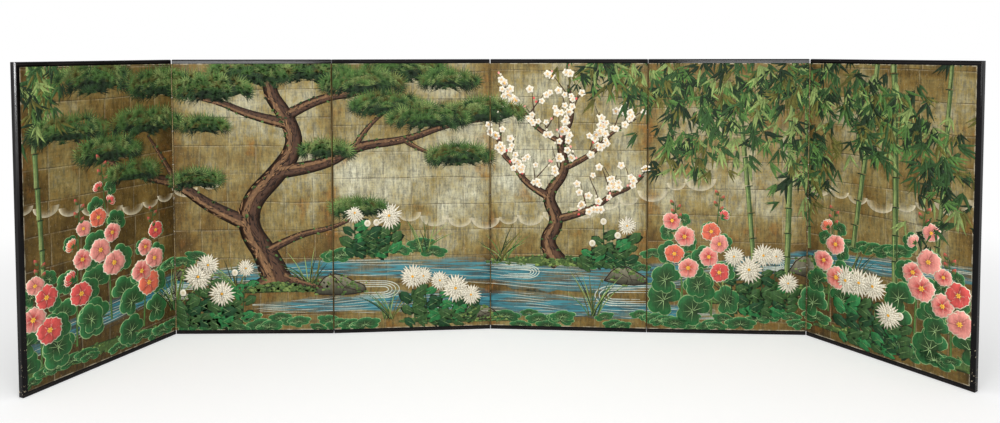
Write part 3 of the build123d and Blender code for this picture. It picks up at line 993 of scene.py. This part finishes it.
def leafSpray(x, y, heading, size, tone, level):
    turn = math.radians(heading)
    stem = [(x - math.sin(turn) * size, y - math.cos(turn) * size * 0.6, 0.0014), (x, y, 0.0008)]
    stroke("foliage", stem, 0.7, ("culm", 0.6), smooth=1)
    for leaf in range(random.choice([3, 4, 5])):
        lean = heading + jitter(42)
        length = size * between(0.75, 1.25)
        bright = between(0.75, 1.2)
        stamp("foliage", "slimLeaf", x + jitter(0.006), y + jitter(0.006), lean, length * 0.17, length,
              level + leaf * 0.02, (tone, bright * 0.65), (tone, bright * 1.2), bend=jitter(0.16))


def bambooClump(x, y, wide, high, sprays):
    for spray in range(sprays):
        px, py = x + random.gauss(0, 0.5) * wide, y + random.gauss(0, 0.5) * high
        tone = random.choice(bambooLook["tones"])
        heading = random.choice(bambooLook["headings"]) + jitter(16)
        leafSpray(px, py, heading, between(*bambooLook["leaf"]), tone, 0.74 + (spray % 16) * 0.025)


for foot in bambooLook["culms"]:
    culm(*foot)
for clump in bambooLook["clumps"]:
    bambooClump(*clump)
tell("bamboo")

plumLook = {
    "trunk": [(2.09, 0.265, 0.036), (2.02, 0.34, 0.03), (2.09, 0.43, 0.027), (2.03, 0.53, 0.023),
              (2.12, 0.63, 0.019), (2.08, 0.74, 0.015), (2.15, 0.85, 0.011), (2.12, 0.96, 0.005)],
    "boughs": [
        [(2.04, 0.53, 0.017), (1.96, 0.57, 0.013), (1.91, 0.65, 0.01), (1.85, 0.7, 0.007),
         (1.86, 0.78, 0.003)],
        [(2.08, 0.44, 0.017), (2.21, 0.47, 0.013), (2.29, 0.54, 0.01), (2.36, 0.56, 0.007),
         (2.41, 0.61, 0.003)],
        [(2.11, 0.64, 0.013), (2.22, 0.69, 0.01), (2.28, 0.78, 0.007), (2.38, 0.83, 0.003)],
        [(2.09, 0.74, 0.011), (1.99, 0.79, 0.009), (1.94, 0.88, 0.006), (1.86, 0.93, 0.003)],
    ],
    "moss": ["moss", "moss", "mossLight", "mossDark"],
    "blossom": 0.0155, "open": 0.62,  # half width of a blossom, and the share that isn't a bud
    # x, y, half width, height, dabs
    "feet": [(2.085, 0.268, 0.085, 0.03, 150), (1.01, 0.18, 0.13, 0.034, 170)],
}


# grains round the heart of a flower
def pollen(x, y, reach, size, lift, tone, turns):
    for turn in turns:
        stamp("blossom", "dot", x + math.cos(turn) * reach, y + math.sin(turn) * reach, 0, size, size, lift,
              tone)


def plumBlossom(x, y, size, lift):
    put = stampsAt("blossom", x, y, size, lift)
    start = jitter(36)
    for petal in range(5):
        lean = start + petal * 72
        put("roundPetal", lean, 1.02, 1.02, 0, ("creamDark", 0.8))
        put("roundPetal", lean, 0.9, 0.95, 0.05 + petal * 0.01, ("cream", 0.9), "white", power=0.5)
    pollen(x, y, size * 0.3, size * 0.09, lift + 0.14, "orange", [k * 1.257 + 0.4 for k in range(5)])
    put("dot", 0, 0.16, 0.16, 0.15, "yellow")


def plumTwigs(path, count):
    for twig in range(count):
        (x, y, _), heading = alongPath(path, 0.16 + 0.84 * twig / count)
        lean = random.choice([-32, -14, 10, 30, heading]) + jitter(12)
        length = between(0.06, 0.15)
        turn = math.radians(lean)
        line = [(x + math.sin(turn) * length * k / 4 + jitter(0.003), y + math.cos(turn) * length * k / 4,
                 0.003 - 0.0005 * k) for k in range(5)]
        stroke("wood", line, 0.6, "outline", "barkMid", smooth=3)
        for _ in range(random.choice([3, 4, 5])):
            px, py = alongPath(line, between(0.05, 1.0))[0][:2]
            side = random.choice([-1, 1]) * between(0.004, 0.016)
            if random.random() < plumLook["open"]:
                plumBlossom(px + side, py + jitter(0.006), plumLook["blossom"] * between(0.8, 1.15), 0.86)
            else:
                stamp("blossom", "dot", px + side * 0.5, py, lean, 0.0045, 0.0055, 0.9,
                      random.choice(["rosePale", "cream", "rose"]))


# dabs of moss heaped over the foot of a trunk
def footMoss(x, y, wide, high, dabs):
    for dab in range(dabs):
        across = jitter(1.0)
        rise = random.random()
        tone = random.choice(plumLook["moss"])
        stamp("wood", "dot", x + across * wide, y + (rise * (1 - across * across) - 0.35) * high, jitter(40),
              between(0.006, 0.011), between(0.004, 0.006), 0.86 + (dab % 9) * 0.012,
              (tone, between(0.65, 1.05)))


for foot in plumLook["feet"]:
    footMoss(*foot)
barkStroke(plumLook["trunk"], 1.6)
plumTwigs(smoothPath(plumLook["trunk"])[24:], 12)
for bough in plumLook["boughs"]:
    barkStroke(bough, 0.8)
    plumTwigs(smoothPath(bough), 11)
tell("plum")


# an open flower: a cream edge behind each petal, then the petal, its veins, an inner ring and the heart
def hollyhockFlower(x, y, size, lift, tone):
    put = stampsAt("blossom", x, y, size, lift)
    start = jitter(30)
    pale = "rosePale" if random.random() < 0.6 else tone
    for petal in range(5):
        lean, step = start + petal * 72, petal * 0.022
        reach = between(0.92, 1.08)
        put("broadPetal", lean, reach * 1.04, reach * 1.03, step, "creamDark", "cream")
        put("broadPetal", lean, reach * 0.97, reach * 0.96, step + 0.008, "roseDark", (pale, 1.05),
            power=0.75)
        for vein in (-20, -10, 0, 10, 20):
            put("slimLeaf", lean + vein, 0.06, 0.86, step + 0.014, "roseDark", tone)
    for petal in range(10):
        put("slimLeaf", start + petal * 36, 0.16, 0.52 if petal % 2 else 0.42, 0.15 + petal * 0.004,
            ("roseDark", 0.7), "rosePale" if petal % 2 else tone, power=1.4)
    put("disc", 0, 0.15, 0.15, 0.25, "orange", "yellow", radial=True)
    pollen(x, y, size * 0.17, size * 0.05, lift + 0.28, ("yellow", 1.15), [k * 1.047 for k in range(6)])


# a flower seen from the side, still half closed
def halfOpenFlower(x, y, lean, size, lift, tone):
    put = stampsAt("blossom", x, y, size, lift)
    for step, spread in enumerate((-44, 44, -20, 20, 0)):
        put("broadPetal", lean + spread, 0.72, 1, step * 0.03, ("cream", 0.95))
        put("broadPetal", lean + spread, 0.63, 0.92, step * 0.03 + 0.012, "roseDark", (tone, 1.08), power=0.5)
    for spread in (-40, 0, 40):
        put("slimLeaf", lean + spread, 0.26, 0.48, 0.18, "leafMid", "leafLight")


def bigLeaf(x, y, lean, size, flat, lift):
    bright = between(0.85, 1.15)
    put = stampsAt("foliage", x, y, size, lift)
    put("lobedLeaf", lean, 1.05, flat * 1.05, 0, ("vein", 0.75 * bright))
    put("lobedLeaf", lean, 1, flat, 0.015, ("leafHeart", bright), ("vivid", bright), radial=True, power=2.2)
    stamp("foliage", "rays", x, y - size * flat * 0.12, lean, size * 0.86, size * 0.86 * flat, lift + 0.04,
          ("vein", 1.0, 0.9), ("vivid", 1.0, 0.6))


def hollyhock(x, y, height, leanX, flowers):
    steps = [(x + leanX * (k / 5) ** 1.5, y + height * k / 5, 0.0042 - 0.0005 * k) for k in range(6)]
    stroke("foliage", steps, 0.6, ("leafMid", 0.7), "leafLight")
    for leaf in range(gardenLook["hollyhockLeaves"]):
        px, py = alongPath(steps, 0.02 + leaf * 0.115)[0][:2]
        side = 1 if leaf % 2 else -1
        size = gardenLook["leaf"] * (1 - leaf * 0.085) * between(0.85, 1.15)
        stalk = [(px, py, 0.0018), (px + side * size * 0.6, py + size * 0.2, 0.0014)]
        stroke("foliage", stalk, 0.5, "leafMid", smooth=2)
        bigLeaf(px + side * size, py + size * 0.1 + jitter(0.01), side * 58 + jitter(20), size, 0.88,
                0.6 + leaf * 0.03)
    for flower in range(flowers):
        px, py = alongPath(steps, 0.36 + 0.46 * flower / max(1, flowers - 1))[0][:2]
        size = gardenLook["flower"] * (1 - flower * 0.08) * between(0.86, 1.1)
        side = -1 if flower % 2 else 1
        tone = random.choice(gardenLook["petals"])
        if flower and random.random() < 0.3:
            halfOpenFlower(px + side * 0.016, py, side * 48 + jitter(12), size * 0.95, 0.95, tone)
        else:
            hollyhockFlower(px + side * 0.022 + jitter(0.008), py + jitter(0.008), size, 0.95, tone)
    for bud in range(4):
        px, py = alongPath(steps, 0.86 + bud * 0.045)[0][:2]
        side = -1 if bud % 2 else 1
        px += side * 0.006
        stamp("blossom", "roundPetal", px, py, side * 30, 0.014, 0.024, 1.0, "leafMid", "rose", power=2)
        stamp("blossom", "slimLeaf", px, py, side * 44, 0.007, 0.016, 1.03, "leafMid", "leafLight")


def chrysanthemum(x, y, size, lift):
    put = stampsAt("blossom", x, y, size, lift)
    for ring, (reach, count, wide) in enumerate(gardenLook["rings"]):
        for petal in range(count):
            lean = 360 * petal / count + ring * 9 + jitter(4)
            length = reach * between(0.92, 1.05)
            level = ring * 0.06
            put("narrowPetal", lean, wide * 1.25, length * 1.04, level, ("creamDark", 0.5),
                ("creamDark", 0.75))
            put("narrowPetal", lean, wide, length, level + 0.03, "creamDark", "white", power=0.45)
    put("disc", 0, 0.1, 0.1, 0.36, "orange", "yellow", radial=True)


# stems rise side by side from a wide foot, each with its leaves and one head
def chrysanthemumPlant(x, y, height, heads, spread):
    for head in range(heads):
        lean = spread * ((head + 0.5) / heads - 0.5) * 2
        reach = height * between(0.45, 1.15)
        topX, topY = x + lean * 1.1 + jitter(0.01), y + reach
        steps = [(x + lean * 0.92, y - 0.01, 0.003), (x + lean, y + reach * 0.5, 0.0026), (topX, topY, 0.002)]
        stroke("foliage", steps, 0.5, "leafDark", "leafMid", smooth=3)
        for leaf in range(gardenLook["chrysanthemumLeaves"]):
            px, py = alongPath(steps, 0.02 + leaf * 0.135)[0][:2]
            side = 1 if leaf % 2 else -1
            size = 0.032 * between(0.75, 1.25)
            tone = random.choice(gardenLook["cutLeaves"])
            px, py = px + side * size * 0.8, py - size * 0.1
            put = stampsAt("foliage", px, py, size, 0.58 + leaf * 0.02)
            put("cutLeaf", side * 60 + jitter(25), 0.64, 1.04, 0, ("leafDark", 0.7))
            put("cutLeaf", side * 60 + jitter(25), 0.6, 0.98, 0.02, (tone, 0.7), (tone, 1.25), radial=True)
            stamp("foliage", "slimLeaf", px - side * size * 0.6, py - size * 0.3, side * 62, size * 0.05,
                  size * 1.2, 0.78, ("vein", 0.7, 0.8), "leafLight")
        if random.random() < gardenLook["budded"]:
            stamp("blossom", "disc", topX, topY, 0, 0.012, 0.013, 0.9, "creamDark", "white", radial=True)
        else:
            chrysanthemum(topX, topY, between(*gardenLook["heads"]), 0.9)


def groundLeaves(x, y, wide, count):
    for leaf in range(count):
        px = x + wide * (2 * (leaf + 0.5) / count - 1) + jitter(0.02)
        py = y + jitter(wide * 0.2)
        bigLeaf(px, py, jitter(14), between(0.034, 0.062), 0.42, 0.46 + leaf * 0.02)


def grassTuft(x, y, height, blades):
    for blade in range(blades):
        lean = jitter(34)
        tone = random.choice(gardenLook["grass"])
        stamp("foliage", "grassBlade", x + jitter(0.02), y, lean, 0.006, height * between(0.6, 1.1),
              0.5 + blade * 0.01, (tone, 0.7), (tone, 1.2), bend=lean / 80)


gardenLook = {
    "leaf": 0.066, "flower": 0.044, "heads": (0.034, 0.056),  # the largest leaf and flower, half widths
    "hollyhockLeaves": 8, "chrysanthemumLeaves": 6, "budded": 0.2,
    "petals": ["rose", "rosePale", "rose", "coral"],
    "cutLeaves": ["vividDark", "leafMid", "leafMid", "vivid"],
    "grass": ["leafMid", "leafLight", "leafDark", "leafOld", "leafPale"],
    # reach, petals and petal width of each ring of a chrysanthemum, from the outside in
    "rings": [(1.0, 22, 0.16), (0.82, 18, 0.17), (0.62, 14, 0.18), (0.42, 10, 0.19), (0.25, 6, 0.2)],
    "hollyhocks": [  # x, y, height, lean at the top, flowers
        (0.19, 0.1, 0.48, 0.02, 5), (0.325, 0.15, 0.57, -0.03, 6), (0.46, 0.08, 0.42, 0.05, 5),
        (0.065, 0.07, 0.34, 0.0, 4), (2.56, 0.12, 0.38, -0.03, 4), (2.67, 0.07, 0.47, 0.03, 5),
        (3.12, 0.12, 0.38, 0.02, 4), (3.44, 0.13, 0.44, 0.03, 5), (3.56, 0.08, 0.33, -0.01, 4)],
    "chrysanthemums": [  # x, y, height, heads, half width
        (0.76, 0.055, 0.2, 6, 0.13), (1.62, 0.045, 0.17, 5, 0.13), (2.86, 0.1, 0.2, 5, 0.12),
        (3.29, 0.05, 0.19, 5, 0.12), (1.36, 0.325, 0.14, 4, 0.09), (2.28, 0.275, 0.15, 4, 0.09)],
    "leaves": [  # x, y, half width, count
        (0.14, 0.06, 0.13, 7), (0.46, 0.05, 0.13, 7), (0.72, 0.045, 0.13, 7), (0.98, 0.05, 0.11, 6),
        (1.24, 0.04, 0.09, 5), (1.98, 0.045, 0.15, 8), (2.4, 0.05, 0.15, 8), (2.66, 0.045, 0.12, 7),
        (2.96, 0.06, 0.13, 7), (3.42, 0.07, 0.16, 9), (1.3, 0.315, 0.1, 5), (1.52, 0.325, 0.1, 5),
        (2.3, 0.275, 0.12, 6), (2.52, 0.305, 0.08, 4), (0.62, 0.285, 0.08, 4), (3.28, 0.4, 0.12, 6)],
    "tufts": [  # x, y, height, blades
        (0.6, 0.1, 0.19, 18), (1.13, 0.18, 0.15, 16), (1.42, 0.05, 0.14, 16), (1.86, 0.27, 0.15, 16),
        (2.22, 0.06, 0.19, 18), (2.74, 0.12, 0.19, 18), (3.2, 0.22, 0.19, 16), (0.84, 0.175, 0.14, 14),
        (1.56, 0.31, 0.14, 14)],
}
for plant in gardenLook["hollyhocks"]:
    hollyhock(*plant)
for patch in gardenLook["leaves"]:
    groundLeaves(*patch)
for plant in gardenLook["chrysanthemums"]:
    chrysanthemumPlant(*plant)
for tuft in gardenLook["tufts"]:
    grassTuft(*tuft)
tell("flowers")

rockLook = {
    "cracks": 5, "dabs": 34,
    "rocks": [
        [(1.14, 0.155), (1.16, 0.205), (1.2, 0.235), (1.25, 0.228), (1.29, 0.2), (1.33, 0.19), (1.34, 0.16),
         (1.25, 0.148)],
        [(2.26, 0.2), (2.29, 0.248), (2.34, 0.262), (2.38, 0.238), (2.42, 0.218), (2.43, 0.19), (2.34, 0.18)],
        [(1.7, 0.055), (1.74, 0.1), (1.8, 0.095), (1.84, 0.07), (1.86, 0.045), (1.76, 0.035)],
        [(2.96, 0.245), (2.99, 0.3), (3.05, 0.315), (3.09, 0.282), (3.15, 0.262), (3.14, 0.23), (3.04, 0.22)],
        [(0.6, 0.215), (0.62, 0.25), (0.67, 0.268), (0.71, 0.245), (0.75, 0.225), (0.74, 0.205),
         (0.67, 0.198)],
    ],
}


def rock(outline):
    bm = bmesh.new()
    face = bm.faces.new([bm.verts.new((x, y, 0)) for x, y in outline])
    bmesh.ops.inset_region(bm, faces=[face], thickness=0.012)
    bmesh.ops.triangulate(bm, faces=bm.faces[:])
    data = raiseShape(bm, 0.0004)
    midX, midY = [sum(p[k] for p in outline) / len(outline) for k in (0, 1)]
    low, high = min(y for x, y in outline), max(y for x, y in outline)
    share = ((data["points"][:, 1] - low) / (high - low))[:, None]
    addMark("wood", data, data["points"], mixInks("stoneDark", "stoneLight", share))
    stroke("wood", [(x, y, 0.0022) for x, y in outline + outline[:1]], 0.7, "outline", smooth=2)
    for _ in range(rockLook["cracks"]):
        x, y = random.choice(outline)
        crack = [(x, y, 0.002), ((x + midX) / 2 + jitter(0.012), (y + midY) / 2 + jitter(0.008), 0.0026),
                 (midX + jitter(0.02), midY - 0.01 + jitter(0.015), 0.0008)]
        stroke("wood", crack, 0.7, ("outline", 1.4), smooth=3)
    for _ in range(rockLook["dabs"]):
        x, y = random.choice(outline)
        near = random.random() * 0.5
        stamp("wood", "dot", x + (midX - x) * near + jitter(0.01), y + (midY - y) * near + jitter(0.008), 0,
              0.006 + jitter(0.003), 0.004, 0.75, (random.choice(["moss", "mossLight"]), between(0.7, 1.1)))


for outline in rockLook["rocks"]:
    rock(outline)
tell("rocks")


# where a spot of paint is on the canvas, its own tint, and the leafed ground under it
def paintInputs(tree):
    place = addNode(tree, "Attribute", attribute_name="canvas").outputs["Vector"]
    return place, addNode(tree, "Attribute", attribute_name="tint").outputs, groundAt(place)


def paintMaterial(name, wear, streaky, rough):
    material, tree, shader = newMaterial(name, specular=0.2)
    tint, ground = paintInputs(tree)[1:]
    bare = remap(ground["Bare"], wear, wear + 0.08, 0.0, 0.9)
    shown = lighten(tint["Color"], ground["Streak"], 0.42, 0.58, 1 - streaky, 1 + streaky)
    colour = mixColour(times(tint["Alpha"], minus(1.0, bare)), ground["Colour"], shown)
    finish(shader, colour, remap(ground["Streak"], 0.4, 0.6, rough, rough + 0.2), ground["Height"], 0.0003)
    return material


def streamMaterial():
    material, tree, shader = newMaterial("streamPaint", specular=0.25)
    place, tint, ground = paintInputs(tree)
    flow = noise(place, (7, 120, 1), 4, 0.7)
    wash = noise(place, (3.2, 16, 1), 4, shift=(4, 2, 0))
    deep = mixColour(remap(flow, 0.4, 0.6), streamLook["deep"], streamLook["shallow"])
    cover = times(remap(weigh([(flow, 0.55), (wash, 0.45)]), 0.4, 0.54, 0.3, 0.97), tint["Alpha"])
    colour = mixColour(cover, ground["Colour"], deep)
    finish(shader, colour, remap(ground["Streak"], 0.4, 0.6, 0.42, 0.6), ground["Height"], 0.0003)
    return material


coats = {
    "mist": paintMaterial("mistPaint", wear=0.6, streaky=0.16, rough=0.55),
    "stream": streamMaterial(),
    "ripple": paintMaterial("ripplePaint", wear=0.53, streaky=0.14, rough=0.5),
    "bank": paintMaterial("bankPaint", wear=0.56, streaky=0.25, rough=0.55),
    "wood": paintMaterial("woodPaint", wear=0.6, streaky=0.25, rough=0.5),
    "foliage": paintMaterial("foliagePaint", wear=0.585, streaky=0.28, rough=0.5),
    "blossom": paintMaterial("blossomPaint", wear=0.6, streaky=0.14, rough=0.5),
}


def joinMarks(marks):
    points, colours, corners, sizes = zip(*marks)
    starts = np.cumsum([0] + [len(p) for p in points[:-1]])
    corners = np.concatenate([c + start for c, start in zip(corners, starts)])
    points, colours, sizes = [np.concatenate(parts) for parts in (points, colours, sizes)]
    mesh = bpy.data.meshes.new("marks")
    mesh.vertices.add(len(points))
    mesh.vertices.foreach_set("co", points.astype(np.float32).ravel())
    mesh.loops.add(len(corners))
    mesh.loops.foreach_set("vertex_index", corners.astype(np.int32))
    mesh.polygons.add(len(sizes))
    mesh.polygons.foreach_set("loop_start", (np.cumsum(sizes) - sizes).astype(np.int32))
    mesh.update(calc_edges=True)
    tint = mesh.attributes.new("tint", "FLOAT_COLOR", "POINT")
    tint.data.foreach_set("color", colours.astype(np.float32).ravel())
    return mesh


# cuts one coat to one panel's sheet and stands it there
def layCoat(coat, index):
    spot = places[index]
    left = max(spot["start"] + screen["foldSetback"], canvas["left"])
    right = min(spot["start"] + screen["pitch"] - screen["foldSetback"], canvas["right"])
    bottom, top = canvas["bottom"], canvas["top"]
    marks = [m for m in paint[coat] if m[0][:, 0].max() > left and m[0][:, 0].min() < right
             and m[0][:, 1].max() > bottom and m[0][:, 1].min() < top]
    if not marks:
        return
    bm = bmesh.new()
    flat = joinMarks(marks)
    bm.from_mesh(flat)
    bpy.data.meshes.remove(flat)
    for corner, outward in (((left, 0, 0), (-1, 0, 0)), ((right, 0, 0), (1, 0, 0)),
                            ((0, bottom, 0), (0, -1, 0)), ((0, top, 0), (0, 1, 0))):
        geometry = bm.verts[:] + bm.edges[:] + bm.faces[:]
        cut = bmesh.ops.bisect_plane(bm, geom=geometry, plane_co=corner, plane_no=outward, clear_outer=True)
        rims = [g for g in cut["geom_cut"] if isinstance(g, bmesh.types.BMEdge)]
        bmesh.ops.holes_fill(bm, edges=rims, sides=0)
    canvasLayer = bm.verts.layers.float_vector.new("canvas")
    for v in bm.verts:
        v[canvasLayer] = (v.co.x, v.co.y, 0)
    stand = Matrix((spot["along"], (0, 0, 1), -spot["away"])).transposed().to_4x4()
    stand.translation = spot["origin"] - spot["along"] * spot["start"]
    bmesh.ops.transform(bm, matrix=stand, verts=bm.verts[:])
    piece = meshObject(nodeName(index, coat + "_paint"), bm, coats[coat])
    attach(piece, f"panel_{index}")


for coat in coats:
    for index in places:
        layCoat(coat, index)
triangles = {o.name: sum(len(p.vertices) - 2 for p in o.data.polygons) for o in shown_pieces()}
most = max(triangles, key=triangles.get)
print("painting: laid,", sum(triangles.values()), "triangles, at most", triangles[most], "in", most)

studio = {
    "aim": (0, 0, 0.5),  # what the lamps point at
    "lens": 27.88, "shift": -0.13, "eye": (-0.0268, -2.7162, 1.0963), "pitch": 2.354, "yaw": 0.531,
    "roll": -0.069, "floor": 14.0, "floorGrey": 0.82, "floorLift": 0.28, "ambient": 0.46, "fadeFrom": 1.7,
    "fadeTo": 3.6,
}


def makeCamera(look):
    data = bpy.data.cameras.new("camera")
    data.lens = look["lens"]
    data.shift_y = look["shift"]
    camera = addObject("camera", data)
    turn = Matrix.Rotation(-math.radians(look["yaw"]), 3, "Z")
    tilt = Matrix.Rotation(math.radians(90 - look["pitch"]), 3, "X")
    roll = Matrix.Rotation(math.radians(look["roll"]), 3, "Z")
    camera.rotation_euler = (turn @ tilt @ roll).to_euler()
    camera.location = look["eye"]
    bpy.context.scene.camera = camera


def grey(level):
    return level, level, level, 1


# one for what the camera and mirrors see, nothing for the light that falls on things
def seenRay(tree):
    path = addNode(tree, "LightPath").outputs
    mirrored = reckon("MAXIMUM", path["Is Glossy Ray"], path["Is Transmission Ray"])
    return reckon("MAXIMUM", path["Is Camera Ray"], mirrored)


def makeWorld(look):
    world = bpy.data.worlds.new("studioWorld")
    bpy.context.scene.world = world
    tree = emptyTree(world)
    light, seen = [addNode(tree, "Background", {"Color": grey(1), "Strength": strength}).outputs[0]
                   for strength in (look["ambient"], 1.0)]
    addNode(tree, "OutputWorld", {0: follow("MixShader", {0: seenRay(tree), 1: light, 2: seen})})


def makeFloor(look):
    bm = bmesh.new()
    bmesh.ops.create_grid(bm, x_segments=1, y_segments=1, size=look["floor"])
    material = bpy.data.materials.new("paleFloor")
    tree = emptyTree(material)
    seen = seenRay(tree)
    lit = addNode(tree, "BsdfDiffuse", {"Color": grey(look["floorGrey"])}).outputs[0]
    glow = follow("Emission", {"Color": grey(look["floorLift"]), "Strength": seen})
    near = follow("AddShader", {0: lit, 1: glow})
    far = addNode(tree, "Emission", {"Color": grey(1), "Strength": 1.0}).outputs[0]
    reach = follow("VectorMath", {0: objectPlace(tree)}, "Value", operation="LENGTH")
    fade = times(seen, remap(reach, look["fadeFrom"], look["fadeTo"]))
    addNode(tree, "OutputMaterial", {0: follow("MixShader", {0: fade, 1: near, 2: far})})
    floor = meshObject("floor", bm, material)


# the tall lamps light the picture, and the low bright ones show in the top strips that face them
lamps = {
    "leftSoft": {"at": (-2.4, -4.2, 1.75), "wide": 1.4, "high": 2.3, "power": 55},
    "rightSoft": {"at": (1.9, -4.2, 1.75), "wide": 1.4, "high": 2.3, "power": 38},
    "leftGlint": {"at": (-2.4, -4.2, 1.0), "wide": 1.4, "high": 0.5, "power": 29},
    "rightGlint": {"at": (1.9, -4.2, 1.0), "wide": 1.4, "high": 0.5, "power": 26},
    "topSoft": {"at": (0.0, -1.2, 4.5), "wide": 3.0, "high": 3.0, "power": 62},
}


def makeLamp(name, look):
    data = bpy.data.lights.new(name, "AREA")
    data.shape = "RECTANGLE"
    data.size, data.size_y, data.energy = look["wide"], look["high"], look["power"]
    lamp = addObject(name, data)
    lamp.location = look["at"]
    aim = Vector(studio["aim"]) - Vector(look["at"])
    lamp.rotation_euler = aim.to_track_quat("-Z", "Y").to_euler()


makeCamera(studio)
makeWorld(studio)
makeFloor(studio)
for name, look in lamps.items():
    makeLamp(name, look)
bpy.context.scene.view_settings.view_transform = "Standard"
print("studio: camera, floor and", len(lamps), "lamps")
